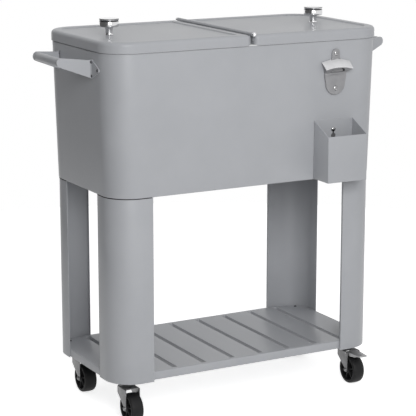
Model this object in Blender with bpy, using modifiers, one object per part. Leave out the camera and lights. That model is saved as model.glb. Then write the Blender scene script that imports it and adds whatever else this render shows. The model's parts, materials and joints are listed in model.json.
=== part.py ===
"""Rolling patio cooler: an insulated tub with two lids on a slotted-shelf cart with four casters.

Metres, +Z up, the floor at z = 0, X along the cooler's length and -Y to its front.
Every piece is modelled where it sits when the lids are shut.
"""
import bmesh
import bpy
from math import asin, atan2, cos, degrees, hypot, pi, radians, sin, sqrt
from mathutils import Matrix, Vector

NAME = "rolling_patio_cooler"

# Gap kept between two pieces that touch, and how far a cutter runs past what it cuts
CLEAR = 0.0003
OVERRUN = 0.002

# Facets of a quarter turn on large corners, and of a full turn on round pieces
CORNER_STEPS = 5
ROUND_STEPS = 14
FINE_STEPS = 24
WHEEL_STEPS = 16
SMALL_STEPS = 8
BARREL_STEPS = 12

# Legs: their height is from the shelf's lower edge to the shell's skirt
LEG_HEIGHT = 0.472
LEG_FLANGE_FRONT = 0.1045
LEG_FLANGE_SIDE = 0.102
LEG_SHEET = 0.0015
LEG_LIP = 0.00745
LEG_DROP = 0.0025

# Outer shell, and how far each wall leans out from bottom to top
SHELL_LENGTH_TOP = 0.786
SHELL_DEPTH_TOP = 0.400
FLARE_END = 0.0095
FLARE_FRONT = 0.004
SHELL_CORNER = 0.073
SHELL_HEIGHT = 0.3555
SHELL_SHEET = 0.0012
SHELL_LIP = 0.014
PAN_RISE = 0.012

# Inner tub
TUB_WALL = 0.0025
TUB_TOP_MARGIN = 0.024
TUB_BOTTOM_MARGIN = 0.028
TUB_FLOOR_RISE = 0.026
TUB_RIM = 0.003
TUB_RIM_INSET = 0.001
TUB_CORNER_TOP = 0.050
TUB_CORNER_BOTTOM = 0.042
TUB_FLOOR_FILLET = 0.012

# Lids
LID_OVERHANG = 0.002
LID_SEAM_CORNER = 0.012
LID_SEAM_GAP = 0.013
LID_EDGE_GAP = 0.0015
LID_HEIGHT = 0.027
LID_ROLL = 0.010
LID_ROLL_STEPS = 3
LID_RIM = 0.025
LID_RECESS = 0.003
LID_RECESS_SLOPE = 0.004
LID_SHEET = 0.0012
LID_PANEL = 0.002
GASKET_HEIGHT = 0.005
GASKET_WIDTH = 0.008
GASKET_INSET = 0.005

# Centre bar and hinge
HINGE_RISE = 0.0008
BARREL_RADIUS = 0.0048
HINGE_ROD_RADIUS = 0.003
ROD_BALL_RADIUS = 0.0053
ROD_BALL_SWEEP = 50
BARREL_INSET = 0.0025
BAR_WEB = 0.003
BAR_FOOT_WIDTH = 0.060
BAR_FOOT = 0.003
LEAF_SHEET = 0.0012
LEAF_HEIGHT = 0.017
KNUCKLE_COUNT = 13
KNUCKLE_GAP = 0.0005

# Lid knobs
KNOB_FROM_END = 0.095
KNOB_CAP_RADIUS = 0.0247
KNOB_CAP_HEIGHT = 0.021
KNOB_HEIGHT = 0.0405
KNOB_NECK_RADIUS = 0.011
KNOB_FOOT_RADIUS = 0.009
KNOB_GROOVE = 0.0014
KNOB_RING = 0.0045
KNOB_CHAMFER = 0.0012

# Side handles
HANDLE_BELOW_LID = 0.0445
HANDLE_SETBACK = 0.1015
HANDLE_SPLAY = 0.022
HANDLE_REACH = 0.072
GRIP_RISE = 0.018
GRIP_RADIUS = 0.011
ARM_SHEET = 0.003
ARM_ROOT_HEIGHT = 0.0435
ARM_END_RADIUS = 0.0118
FOOT_SCREW_RISE = 0.017
FOOT_SCREW_OUT = 0.034
FOOT_MARGIN = 0.0067

# Screws: dome heads
SCREW_HEAD_RADIUS = 0.0042
SCREW_HEAD_HEIGHT = 0.0026
SCREW_SHANK_RADIUS = 0.002
SCREW_HOLE_RADIUS = 0.0024
SHELF_SCREW_FROM_END = 0.0287
SHELF_SCREW_FROM_SIDE = 0.03075

# Bottle opener, heights from its lower edge
OPENER_SHIFT = 0.0015
OPENER_DROP = 0.1384
OPENER_PLATE = 0.005
OPENER_HALF_WIDTH = 0.0323
OPENER_LOWER_RADIUS = 0.0285
OPENER_SCREW_LOW = 0.0175
OPENER_SCREW_HIGH = 0.107
OPENER_TAB_RADIUS = 0.0115
OPENER_HOOD_TOP = 0.086
OPENER_HOOD_DROP = 0.0155
OPENER_HOOD_REACH = 0.022
OPENER_HOOD_WIDTH = 0.085
OPENER_HOOD_WALL = 0.004
OPENER_LIP_FACE = 0.003
OPENER_ARCH_RISE = 0.0065
OPENER_LEDGE_TOP = 0.053
OPENER_LEDGE_REACH = 0.011
OPENER_LEDGE_WIDTH = 0.052
OPENER_LEDGE_THICKNESS = 0.004
OPENER_HEAD_RADIUS = 0.0055

# Cap catcher
CATCHER_FROM_END = 0.1425
CATCHER_WIDTH = 0.117
CATCHER_BOTTOM_RISE = 0.002
CATCHER_BACK_HEIGHT = 0.152
CATCHER_FRONT_HEIGHT = 0.119
CATCHER_TOP_REACH = 0.070
CATCHER_BOTTOM_REACH = 0.0725
CATCHER_SHEET = 0.0015
CATCHER_SCREW_DROP = 0.027
KEYHOLE_SLOT_WIDTH = 0.005
KEYHOLE_TRAVEL = 0.016
KEYHOLE_RADIUS = 0.0068

# Bottom shelf
SHELF_RISE = 0.0212
SHELF_SHEET = 0.0015
SHELF_CORNER = 0.078
SLOT_COUNT = 8
SLOT_FROM_END = 0.0862
SLOT_WIDTH = 0.010
SLOT_EDGE_MARGIN = 0.0118
SLOT_COLLAR = 0.009
CASTER_PLATE = 0.0025
CASTER_PLATE_LENGTH = 0.078
CASTER_PLATE_DEPTH = 0.088

# Casters
CASTER_FROM_END = 0.0525
CASTER_FROM_SIDE = 0.057
CASTER_TRAIL = 0.032
WHEEL_RADIUS = 0.038
WHEEL_HEADROOM = 0.0115
WHEEL_WIDTH = 0.0335
WHEEL_CROWN = 0.0015
WHEEL_TYRE = 0.0095
WHEEL_HUB_RADIUS = 0.010
WHEEL_WEB = 0.005
WHEEL_RIB = 0.003
WHEEL_RIB_COUNT = 6
WHEEL_RIB_INSET = 0.0025
AXLE_RADIUS = 0.004
AXLE_HEAD_RADIUS = 0.0055
AXLE_HEAD = 0.003
FORK_SHEET = 0.002
FORK_PLAY = 0.0015
FORK_CROWN = 0.0025
FORK_BACK = 0.009
FORK_FRONT = 0.039
FORK_SHOULDER = 0.018
FORK_TIP_RADIUS = 0.0065
RACE_RADIUS = 0.021
RACE_LOWER_RADIUS = 0.0185
RACE_LOWER_HEIGHT = 0.007
RACE_CUP_HEIGHT = 0.0089
RACE_LIP = 0.003
KINGPIN_RADIUS = 0.004
KINGPIN_HEAD_RADIUS = 0.007
KINGPIN_HEAD = 0.002
STEM_RADIUS = 0.005
STEM_NUT_RADIUS = 0.009
STEM_NUT = 0.006

# Brake pedals on the right-hand casters
PEDAL_ROOT_WIDTH = 0.034
PEDAL_TIP_WIDTH = 0.024
PEDAL_PIVOT_SHIFT = 0.001
PEDAL_PIVOT_DROP = 0.0023
PEDAL_BOSS_RADIUS = 0.0036
PEDAL_PIN_RADIUS = 0.0018
PEDAL_SHEET = 0.002
PEDAL_LENGTH = 0.057
PEDAL_TIP_RISE = 0.0008
PEDAL_FLANGE = 0.007
PEDAL_PAD_OUT = 0.021
PEDAL_PAD_LENGTH = 0.008
PEDAL_PAD_GAP = 0.0034

# Drain
DRAIN_FROM_END = 0.1335
DRAIN_FLANGE_RADIUS = 0.017
DRAIN_FLANGE = 0.0025
DRAIN_TUBE_RADIUS = 0.0095
DRAIN_BORE_RADIUS = 0.0065
DRAIN_OUTLET_DROP = 0.022
DRAIN_CAP_RADIUS = 0.014
DRAIN_CAP_WALL = 0.0025
DRAIN_CAP_HEIGHT = 0.016

# Heights and places that follow from the sizes above
SHELL_LENGTH_BOTTOM = SHELL_LENGTH_TOP - 2 * FLARE_END
SHELL_DEPTH_BOTTOM = SHELL_DEPTH_TOP - 2 * FLARE_FRONT
FORK_CROWN_BOTTOM = 2 * WHEEL_RADIUS + WHEEL_HEADROOM
FORK_CROWN_HEIGHT = FORK_CROWN_BOTTOM + FORK_CROWN
CUP_LOW = FORK_CROWN_HEIGHT + RACE_LOWER_HEIGHT + CLEAR
CASTER_HEIGHT = CUP_LOW + RACE_CUP_HEIGHT + CLEAR
CASTER_X = SHELL_LENGTH_BOTTOM / 2 - CASTER_FROM_END
CASTER_Y = SHELL_DEPTH_BOTTOM / 2 - CASTER_FROM_SIDE
PEDAL_PIVOT_Y = CASTER_TRAIL - PEDAL_PIVOT_SHIFT
PEDAL_PIVOT_HEIGHT = FORK_CROWN_BOTTOM - PEDAL_PIVOT_DROP
SHELL_BOTTOM = CASTER_HEIGHT + LEG_HEIGHT
SHELL_TOP = SHELL_BOTTOM + SHELL_HEIGHT
PAN_BOTTOM = SHELL_BOTTOM + PAN_RISE
PAN_TOP = PAN_BOTTOM + SHELL_SHEET
RIM_BOTTOM = SHELL_TOP + CLEAR
RIM_TOP = RIM_BOTTOM + TUB_RIM
TUB_FLOOR = PAN_TOP + TUB_FLOOR_RISE
LID_LENGTH = SHELL_LENGTH_TOP + 2 * LID_OVERHANG
LID_DEPTH = SHELL_DEPTH_TOP + 2 * LID_OVERHANG
LID_CORNER = SHELL_CORNER + LID_OVERHANG
LID_EDGE = SHELL_TOP + LID_EDGE_GAP
LID_TOP = LID_EDGE + LID_HEIGHT
HINGE_HEIGHT = LID_TOP + HINGE_RISE
GASKET_BOTTOM = RIM_TOP + CLEAR
GASKET_TOP = GASKET_BOTTOM + GASKET_HEIGHT
PANEL_BOTTOM = GASKET_TOP + CLEAR
PANEL_TOP = PANEL_BOTTOM + LID_PANEL
RECESS_TOP = LID_TOP - LID_RECESS
LID_SEAM = LID_SEAM_GAP / 2
BARREL_LENGTH = LID_DEPTH - 2 * BARREL_INSET
KNOB_X = LID_LENGTH / 2 - KNOB_FROM_END
LEG_X = SHELL_LENGTH_BOTTOM / 2 - SHELL_SHEET - CLEAR
LEG_Y = SHELL_DEPTH_BOTTOM / 2 - SHELL_SHEET - CLEAR
LEG_CORNER = SHELL_CORNER - SHELL_SHEET - CLEAR
SHELF_X = LEG_X - LEG_SHEET - CLEAR
SHELF_Y = LEG_Y - LEG_LIP - CLEAR
SHELF_DEPTH = 2 * SHELF_Y
SHELF_TOP = CASTER_HEIGHT + SHELF_RISE
SHELF_SCREW_X = SHELF_X - SHELF_SCREW_FROM_END
SHELF_SCREW_Y = SHELF_Y - SHELF_SCREW_FROM_SIDE
SLOT_PITCH = 2 * (SHELF_X - SLOT_FROM_END) / (SLOT_COUNT - 1)
CATCHER_X = SHELL_LENGTH_BOTTOM / 2 - CATCHER_FROM_END
CATCHER_BOTTOM = SHELL_BOTTOM + CATCHER_BOTTOM_RISE
OPENER_X = CATCHER_X + OPENER_SHIFT
OPENER_BOTTOM = SHELL_TOP - OPENER_DROP
DRAIN_X = DRAIN_FROM_END - SHELL_LENGTH_BOTTOM / 2
HANDLE_HEIGHT = LID_EDGE - HANDLE_BELOW_LID
ARM_TOP = GRIP_RISE + ARM_END_RADIUS + OVERRUN
HANDLE_SPREAD_WALL = SHELL_DEPTH_TOP - 2 * HANDLE_SETBACK
HANDLE_SPREAD_GRIP = HANDLE_SPREAD_WALL - 2 * HANDLE_SPLAY
FORK_INSIDE = WHEEL_WIDTH / 2 + FORK_PLAY
FORK_OUTSIDE = FORK_INSIDE + FORK_SHEET
TAPER_END = atan2(FLARE_END, SHELL_HEIGHT)
TAPER_FRONT = atan2(FLARE_FRONT, SHELL_HEIGHT)

# Which way each outline's own X, Y and Z run: along Y and Z for a side view, X and Z for a front view
SIDE_VIEW = Matrix(((0, 0, 1, 0), (1, 0, 0, 0), (0, 1, 0, 0), (0, 0, 0, 1)))
FRONT_VIEW = Matrix(((1, 0, 0, 0), (0, 0, -1, 0), (0, 1, 0, 0), (0, 0, 0, 1)))
PLAN_VIEW = Matrix.Identity(4)


# Scene, collections and materials
def clear_scene():
    for item in list(bpy.data.objects):
        bpy.data.objects.remove(item, do_unlink=True)


def new_collection(name):
    group = bpy.data.collections.new(name)
    bpy.context.scene.collection.children.link(group)
    return group


def finish(name, colour, roughness, metallic):
    """A Principled material of one colour."""
    made = bpy.data.materials.new(name)
    made.use_nodes = True
    shader = made.node_tree.nodes["Principled BSDF"]
    shader.inputs["Base Color"].default_value = (*colour, 1.0)
    shader.inputs["Roughness"].default_value = roughness
    shader.inputs["Metallic"].default_value = metallic
    return made


clear_scene()
PARTS = new_collection(NAME)
CUTTERS = new_collection("cutters")
ROOT = bpy.data.objects.new("cooler_frame", None)
PARTS.objects.link(ROOT)

POWDER_COAT = finish("powder_coat", (0.42, 0.43, 0.45), 0.38, 0.0)
TUB_PLASTIC = finish("tub_plastic", (0.70, 0.71, 0.71), 0.42, 0.0)
FOAM = finish("foam", (0.78, 0.72, 0.50), 0.9, 0.0)
GASKET_RUBBER = finish("gasket_rubber", (0.09, 0.09, 0.10), 0.7, 0.0)
CHROME = finish("chrome", (0.80, 0.80, 0.82), 0.08, 1.0)
STEEL = finish("bright_steel", (0.46, 0.46, 0.47), 0.35, 1.0)
CAST_METAL = finish("cast_opener", (0.50, 0.50, 0.52), 0.32, 0.6)
DARK_SCREW = finish("dark_screw", (0.08, 0.08, 0.09), 0.4, 0.8)
WHEEL_PLASTIC = finish("wheel_plastic", (0.02, 0.02, 0.021), 0.45, 0.0)
DRAIN_PLASTIC = finish("drain_plastic", (0.05, 0.05, 0.055), 0.5, 0.0)


# Helpers that turn outlines into pieces
def place(item, surface, parent=None, smooth=radians(32)):
    """Put a mesh object into the cooler, with its material, parent and soft shading."""
    for group in item.users_collection:
        group.objects.unlink(item)
    PARTS.objects.link(item)
    item.parent = parent or ROOT
    item.data.materials.clear()
    item.data.materials.append(surface)
    item.data.shade_smooth()
    item.data.set_sharp_from_angle(angle=smooth)
    return item


def as_cutter(item, parent=None):
    """Keep a shape as a cutter: drawn as a wire and left out of the model."""
    for group in item.users_collection:
        group.objects.unlink(item)
    CUTTERS.objects.link(item)
    item.parent = parent or ROOT
    item.hide_render = True
    item.display_type = "WIRE"
    return item


def boolean(item, tool, operation="DIFFERENCE"):
    step = item.modifiers.new(tool.name, "BOOLEAN")
    step.operation = operation
    step.solver = "EXACT"
    step.object = tool
    return step


def empty(name, location, parent=None, turn=(0.0, 0.0, 0.0)):
    made = bpy.data.objects.new(name, None)
    made.location = location
    made.rotation_euler = turn
    made.parent = parent or ROOT
    PARTS.objects.link(made)
    return made


def object_from(name, bm):
    mesh = bpy.data.meshes.new(name)
    bm.to_mesh(mesh)
    bm.free()
    made = bpy.data.objects.new(name, mesh)
    bpy.context.scene.collection.objects.link(made)
    return made


def arc(centre, radius, start, end, steps):
    """Points along an arc, angles in degrees."""
    turn = [radians(start + (end - start) * step / steps) for step in range(steps + 1)]
    return [(centre[0] + radius * cos(angle), centre[1] + radius * sin(angle)) for angle in turn]


def section(length, depth, corner, height):
    """A rounded rectangle centred on the cooler, at one height."""
    return (-length / 2, length / 2, -depth / 2, depth / 2, corner, corner, height)


def section_points(shape):
    x_low, x_high, y_low, y_high, corner_left, corner_right, height = shape
    corners = (
        (x_high - corner_right, y_low + corner_right, corner_right, -90),
        (x_high - corner_right, y_high - corner_right, corner_right, 0),
        (x_low + corner_left, y_high - corner_left, corner_left, 90),
        (x_low + corner_left, y_low + corner_left, corner_left, 180),
    )
    points = []
    for x, y, radius, start in corners:
        for px, py in arc((x, y), radius, start, start + 90, CORNER_STEPS):
            points.append(Vector((px, py, height)))
    return points


def extrude_loop(bm, loop, points):
    """Extrude a closed loop of vertices and move the new loop to the given points."""
    edges = [bm.edges.get((a, b)) for a, b in zip(loop, loop[1:] + loop[:1])]
    grown = bmesh.ops.extrude_edge_only(bm, edges=edges)["geom"]
    twins = {v.co.to_tuple(8): v for v in grown if isinstance(v, bmesh.types.BMVert)}
    fresh = [twins[v.co.to_tuple(8)] for v in loop]
    for vert, point in zip(fresh, points):
        vert.co = point
    return fresh


def skin(name, sections, closed_ends=(True, True), ring=False):
    """Extrude a rounded rectangle through its sections, as a person would extrude and scale it."""
    bm = bmesh.new()
    loop = [bm.verts.new(point) for point in section_points(sections[0])]
    for a, b in zip(loop, loop[1:] + loop[:1]):
        bm.edges.new((a, b))
    if closed_ends[0] and not ring:
        bm.faces.new(loop)
    for shape in sections[1:]:
        loop = extrude_loop(bm, loop, section_points(shape))
    if ring:
        extrude_loop(bm, loop, section_points(sections[0]))
        bmesh.ops.remove_doubles(bm, verts=bm.verts, dist=CLEAR / 10)
    elif closed_ends[1]:
        bm.faces.new(loop)
    bmesh.ops.recalc_face_normals(bm, faces=bm.faces)
    return object_from(name, bm)


def thicken(item, thickness, side=-1.0):
    step = item.modifiers.new("sheet", "SOLIDIFY")
    step.thickness = thickness
    step.offset = side
    step.use_even_offset = True
    return step


def extruded(name, outline, depth, view, centre=0.0):
    """A flat outline drawn as a filled curve, extruded to its depth and made a mesh."""
    curve = bpy.data.curves.new(name, "CURVE")
    curve.dimensions = "2D"
    curve.fill_mode = "BOTH"
    curve.extrude = depth / 2
    line = curve.splines.new("POLY")
    line.points.add(len(outline) - 1)
    for point, (x, y) in zip(line.points, outline):
        point.co = (x, y, 0.0, 1.0)
    line.use_cyclic_u = True
    drawn = bpy.data.objects.new(name + "_outline", curve)
    bpy.context.scene.collection.objects.link(drawn)
    graph = bpy.context.evaluated_depsgraph_get()
    mesh = bpy.data.meshes.new_from_object(drawn.evaluated_get(graph))
    made = bpy.data.objects.new(name, mesh)
    made.matrix_world = drawn.matrix_world
    bpy.context.scene.collection.objects.link(made)
    bpy.data.objects.remove(drawn, do_unlink=True)
    bm = bmesh.new()
    bm.from_mesh(mesh)
    bmesh.ops.remove_doubles(bm, verts=bm.verts, dist=CLEAR / 10)
    bmesh.ops.transform(bm, verts=bm.verts, matrix=view @ Matrix.Translation((0.0, 0.0, centre)))
    bmesh.ops.recalc_face_normals(bm, faces=bm.faces)
    bm.to_mesh(mesh)
    bm.free()
    return made


def turned(name, profile, steps=ROUND_STEPS, closed=False):
    """A profile of radius and height, run top to bottom on its outer side, turned about Z."""
    bm = bmesh.new()
    line = [bm.verts.new((radius, 0.0, height)) for radius, height in profile]
    pairs = list(zip(line, line[1:]))
    if closed:
        pairs.append((line[-1], line[0]))
    for a, b in pairs:
        bm.edges.new((a, b))
    made = object_from(name, bm)
    step = made.modifiers.new("turn", "SCREW")
    step.angle = 2 * pi
    step.steps = steps
    step.render_steps = steps
    step.use_merge_vertices = True
    step.merge_threshold = 0.0001
    return made


def box(name, low, high):
    """A cube primitive, sized and placed by its two corners."""
    bm = bmesh.new()
    bmesh.ops.create_cube(bm, size=1.0)
    size = Vector(high) - Vector(low)
    middle = (Vector(high) + Vector(low)) / 2
    bmesh.ops.scale(bm, vec=size, verts=bm.verts)
    bmesh.ops.translate(bm, vec=middle, verts=bm.verts)
    return object_from(name, bm)


def cylinder(name, radius, start, end, steps=ROUND_STEPS):
    """A cylinder between two points."""
    start = Vector(start)
    along = Vector(end) - start
    bm = bmesh.new()
    bmesh.ops.create_cone(bm, cap_ends=True, segments=steps, radius1=radius, radius2=radius,
                          depth=along.length)
    turn = along.to_track_quat("Z", "Y").to_matrix().to_4x4()
    bmesh.ops.transform(bm, verts=bm.verts, matrix=Matrix.Translation(start + along / 2) @ turn)
    return object_from(name, bm)


def merged(name, shapes):
    """Several closed shapes kept as separate bodies of one object."""
    graph = bpy.context.evaluated_depsgraph_get()
    bm = bmesh.new()
    for shape in shapes:
        mesh = bpy.data.meshes.new_from_object(shape.evaluated_get(graph))
        mesh.transform(shape.matrix_basis)
        bm.from_mesh(mesh)
        bpy.data.objects.remove(shape, do_unlink=True)
    return object_from(name, bm)


# Outer shell with its bottom pan
def make_shell():
    def wall(share_up, height):
        length = SHELL_LENGTH_BOTTOM + (SHELL_LENGTH_TOP - SHELL_LENGTH_BOTTOM) * share_up
        depth = SHELL_DEPTH_BOTTOM + (SHELL_DEPTH_TOP - SHELL_DEPTH_BOTTOM) * share_up
        return length, depth, height

    bottom = section(*wall(0.0, SHELL_BOTTOM)[:2], SHELL_CORNER, SHELL_BOTTOM)
    top = section(*wall(1.0, SHELL_TOP)[:2], SHELL_CORNER, SHELL_TOP)
    lip = section(SHELL_LENGTH_TOP - 2 * SHELL_LIP, SHELL_DEPTH_TOP - 2 * SHELL_LIP,
                  SHELL_CORNER - SHELL_LIP, SHELL_TOP)
    shell = skin("outer_shell", [bottom, top, lip], closed_ends=(False, False))
    thicken(shell, SHELL_SHEET)
    inset = SHELL_SHEET / 2
    rise_share = PAN_RISE / SHELL_HEIGHT
    length, depth, _ = wall(rise_share, PAN_BOTTOM)
    outline = (length - 2 * inset, depth - 2 * inset, SHELL_CORNER - inset)
    pan = skin("bottom_pan", [section(*outline, PAN_BOTTOM), section(*outline, PAN_TOP)])
    boolean(shell, as_cutter(pan), "UNION")
    hole = cylinder("pan_drain_hole", DRAIN_TUBE_RADIUS + CLEAR, (DRAIN_X, 0.0, PAN_BOTTOM - OVERRUN),
                    (DRAIN_X, 0.0, PAN_TOP + OVERRUN))
    boolean(shell, as_cutter(hole))
    return place(shell, POWDER_COAT)


def shell_half(height, bottom, top):
    """Half of the shell's length or depth at a height."""
    share = (height - SHELL_BOTTOM) / SHELL_HEIGHT
    return (bottom + (top - bottom) * share) / 2


# Inner tub and the foam round it
def tub_sections(grow):
    """The tub's wall from floor to mouth, moved out by grow."""
    top_length = SHELL_LENGTH_TOP - 2 * TUB_TOP_MARGIN + 2 * grow
    top_depth = SHELL_DEPTH_TOP - 2 * TUB_TOP_MARGIN + 2 * grow
    low_length = SHELL_LENGTH_BOTTOM - 2 * TUB_BOTTOM_MARGIN + 2 * grow
    low_depth = SHELL_DEPTH_BOTTOM - 2 * TUB_BOTTOM_MARGIN + 2 * grow
    floor = TUB_FLOOR - grow
    corner = TUB_CORNER_BOTTOM + grow
    turn_in = TUB_FLOOR_FILLET
    bend = TUB_FLOOR_FILLET * (1 - sqrt(0.5))
    return [
        section(low_length - 2 * turn_in, low_depth - 2 * turn_in, corner - turn_in, floor),
        section(low_length - 2 * bend, low_depth - 2 * bend, corner - bend, floor + bend),
        section(low_length, low_depth, corner, floor + turn_in),
        section(top_length, top_depth, TUB_CORNER_TOP + grow, RIM_TOP),
    ]


def make_tub():
    rim_length = SHELL_LENGTH_TOP - 2 * TUB_RIM_INSET
    rim_depth = SHELL_DEPTH_TOP - 2 * TUB_RIM_INSET
    rim_corner = SHELL_CORNER - TUB_RIM_INSET
    outer = tub_sections(TUB_WALL)
    outer[-1] = outer[-1][:-1] + (RIM_BOTTOM,)
    under_rim = section(rim_length, rim_depth, rim_corner, RIM_BOTTOM)
    over_rim = section(rim_length, rim_depth, rim_corner, RIM_TOP)
    tub = skin("inner_tub", outer + [under_rim, over_rim] + tub_sections(0.0)[::-1])
    hole = cylinder("tub_drain_hole", DRAIN_TUBE_RADIUS + CLEAR,
                    (DRAIN_X, 0.0, TUB_FLOOR - TUB_WALL - OVERRUN), (DRAIN_X, 0.0, TUB_FLOOR + OVERRUN))
    boolean(tub, as_cutter(hole))
    return place(tub, TUB_PLASTIC)


def make_foam():
    inside = SHELL_SHEET + CLEAR
    top = SHELL_TOP - SHELL_SHEET - CLEAR
    bottom = PAN_TOP + CLEAR
    half_x = shell_half(bottom, SHELL_LENGTH_BOTTOM, SHELL_LENGTH_TOP) - inside
    half_y = shell_half(bottom, SHELL_DEPTH_BOTTOM, SHELL_DEPTH_TOP) - inside
    corner = SHELL_CORNER - inside
    top_x = shell_half(top, SHELL_LENGTH_BOTTOM, SHELL_LENGTH_TOP) - inside
    top_y = shell_half(top, SHELL_DEPTH_BOTTOM, SHELL_DEPTH_TOP) - inside
    inner = tub_sections(TUB_WALL + CLEAR)
    inner[-1] = inner[-1][:-1] + (top,)
    outer = [section(2 * half_x, 2 * half_y, corner, bottom), section(2 * top_x, 2 * top_y, corner, top)]
    foam = skin("insulation_foam", outer + inner[::-1])
    hole = cylinder("foam_drain_hole", DRAIN_TUBE_RADIUS + CLEAR,
                    (DRAIN_X, 0.0, bottom - OVERRUN), (DRAIN_X, 0.0, TUB_FLOOR + OVERRUN))
    boolean(foam, as_cutter(hole))
    return place(foam, FOAM)


# Lids: a rolled steel cover, its foam, its plastic inner panel and a gasket
def lid_section(side, inset, height):
    """One level of a lid's plan, inset from its edge; side is -1 for the left lid."""
    outer = LID_LENGTH / 2 - inset
    seam = LID_SEAM + inset
    half_depth = LID_DEPTH / 2 - inset
    big = LID_CORNER - inset
    small = max(LID_SEAM_CORNER - inset, LID_SHEET)
    if side < 0:
        return (-outer, -seam, -half_depth, half_depth, big, small, height)
    return (seam, outer, -half_depth, half_depth, small, big, height)


def make_lid(side, label, hinge):
    levels = [lid_section(side, 0.0, LID_EDGE)]
    for step in range(LID_ROLL_STEPS + 1):
        angle = radians(90 * step / LID_ROLL_STEPS)
        levels.append(lid_section(side, LID_ROLL * (1 - cos(angle)), LID_TOP - LID_ROLL * (1 - sin(angle))))
    levels.append(lid_section(side, LID_RIM, LID_TOP))
    levels.append(lid_section(side, LID_RIM + LID_RECESS_SLOPE, RECESS_TOP))
    cover = skin("lid_" + label, levels, closed_ends=(False, True))
    thicken(cover, LID_SHEET)
    over_rim = SHELL_DEPTH_TOP / 2 - TUB_RIM_INSET + CLEAR
    seam_in = side * (LID_SEAM - OVERRUN)
    seam_out = side * (LID_SEAM + LID_SEAM_CORNER)
    notch = box("seam_notch_" + label,
                (min(seam_in, seam_out), -over_rim, LID_EDGE - OVERRUN - HINGE_HEIGHT),
                (max(seam_in, seam_out), over_rim, RIM_TOP + CLEAR - HINGE_HEIGHT))
    boolean(cover, as_cutter(notch, hinge))
    gap = LID_SHEET + CLEAR
    panel = skin("lid_panel_" + label, [lid_section(side, gap, PANEL_BOTTOM),
                                        lid_section(side, gap, PANEL_TOP)])
    foam_inset = LID_ROLL
    foam_top = RECESS_TOP - LID_SHEET - CLEAR
    foam = skin("lid_foam_" + label, [lid_section(side, foam_inset, PANEL_TOP + CLEAR),
                                      lid_section(side, foam_inset, foam_top)])
    near = GASKET_INSET
    far = GASKET_INSET + GASKET_WIDTH
    gasket = skin("lid_gasket_" + label, [
        lid_section(side, near, GASKET_BOTTOM), lid_section(side, near, GASKET_TOP),
        lid_section(side, far, GASKET_TOP), lid_section(side, far, GASKET_BOTTOM)], ring=True)
    layers = ((cover, POWDER_COAT), (panel, TUB_PLASTIC), (foam, FOAM), (gasket, GASKET_RUBBER))
    for piece, surface in layers:
        place(piece, surface, hinge)
        piece.location = (0.0, 0.0, -HINGE_HEIGHT)


def make_knob(side, label, hinge):
    base = RECESS_TOP + CLEAR
    top = base + KNOB_HEIGHT
    under = top - KNOB_CAP_HEIGHT
    cap = KNOB_CAP_RADIUS
    profile = [
        (0.0, top), (cap - KNOB_CHAMFER, top), (cap, top - KNOB_CHAMFER), (cap, top - KNOB_RING),
        (cap - KNOB_GROOVE, top - KNOB_RING - KNOB_GROOVE), (cap, top - KNOB_RING - 2 * KNOB_GROOVE),
        (cap, under + KNOB_CHAMFER), (cap - KNOB_CHAMFER, under), (KNOB_NECK_RADIUS, under),
        (KNOB_FOOT_RADIUS, (under + base) / 2), (KNOB_FOOT_RADIUS, base + KNOB_CHAMFER),
        (KNOB_FOOT_RADIUS + KNOB_CHAMFER, base), (0.0, base),
    ]
    knob = turned("knob_" + label, profile, FINE_STEPS)
    place(knob, CHROME, hinge)
    knob.location = (side * KNOB_X, 0.0, -HINGE_HEIGHT)


# Centre bar, hinge leaves and rod
def knuckle_spans():
    """The stretches of the barrel from front to back, one for each knuckle."""
    pitch = BARREL_LENGTH / KNUCKLE_COUNT
    start = -BARREL_LENGTH / 2
    return [(start + index * pitch, start + (index + 1) * pitch) for index in range(KNUCKLE_COUNT)]


def barrel_cutter(name, keep, parent):
    """Blocks that clear the barrel on every stretch that belongs to another piece."""
    reach = BARREL_RADIUS + OVERRUN
    blocks = []
    for index, (start, end) in enumerate(knuckle_spans()):
        if index % 3 == keep:
            continue
        low = start - (OVERRUN if index == 0 else KNUCKLE_GAP)
        high = end + (OVERRUN if index == KNUCKLE_COUNT - 1 else KNUCKLE_GAP)
        blocks.append(box(name + str(index), (-reach, low, -reach), (reach, high, reach)))
    cutter = blocks[0]
    for extra in blocks[1:]:
        boolean(cutter, as_cutter(extra, parent), "UNION")
    return as_cutter(cutter, parent)


def barrel(name):
    half = BARREL_LENGTH / 2
    return cylinder(name, BARREL_RADIUS, (0.0, -half, 0.0), (0.0, half, 0.0), BARREL_STEPS)


def rod_bore(name):
    half = BARREL_LENGTH / 2 + OVERRUN
    return cylinder(name, HINGE_ROD_RADIUS + CLEAR, (0.0, -half, 0.0), (0.0, half, 0.0), BARREL_STEPS)


def make_centre_bar(hinge_line):
    """The bar across the tub's mouth: a foot between the walls and a web up to the barrel."""
    foot_top = RIM_TOP - HINGE_HEIGHT
    mouth = SHELL_DEPTH_TOP / 2 - TUB_TOP_MARGIN - CLEAR
    half = BARREL_LENGTH / 2
    web = box("centre_bar", (-BAR_WEB / 2, -half, foot_top + CLEAR), (BAR_WEB / 2, half, 0.0))
    foot = box("bar_foot", (-BAR_FOOT_WIDTH / 2, -mouth, foot_top - BAR_FOOT),
               (BAR_FOOT_WIDTH / 2, mouth, foot_top))
    stiffener = box("bar_stiffener", (-BAR_WEB / 2, -mouth, foot_top - BAR_FOOT / 2),
                    (BAR_WEB / 2, mouth, foot_top + BAR_FOOT))
    boolean(web, as_cutter(foot, hinge_line), "UNION")
    boolean(web, as_cutter(stiffener, hinge_line), "UNION")
    boolean(web, as_cutter(barrel("bar_barrel"), hinge_line), "UNION")
    boolean(web, barrel_cutter("bar_notch", 0, hinge_line))
    boolean(web, as_cutter(rod_bore("bar_bore"), hinge_line))
    return place(web, POWDER_COAT, hinge_line)


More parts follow.
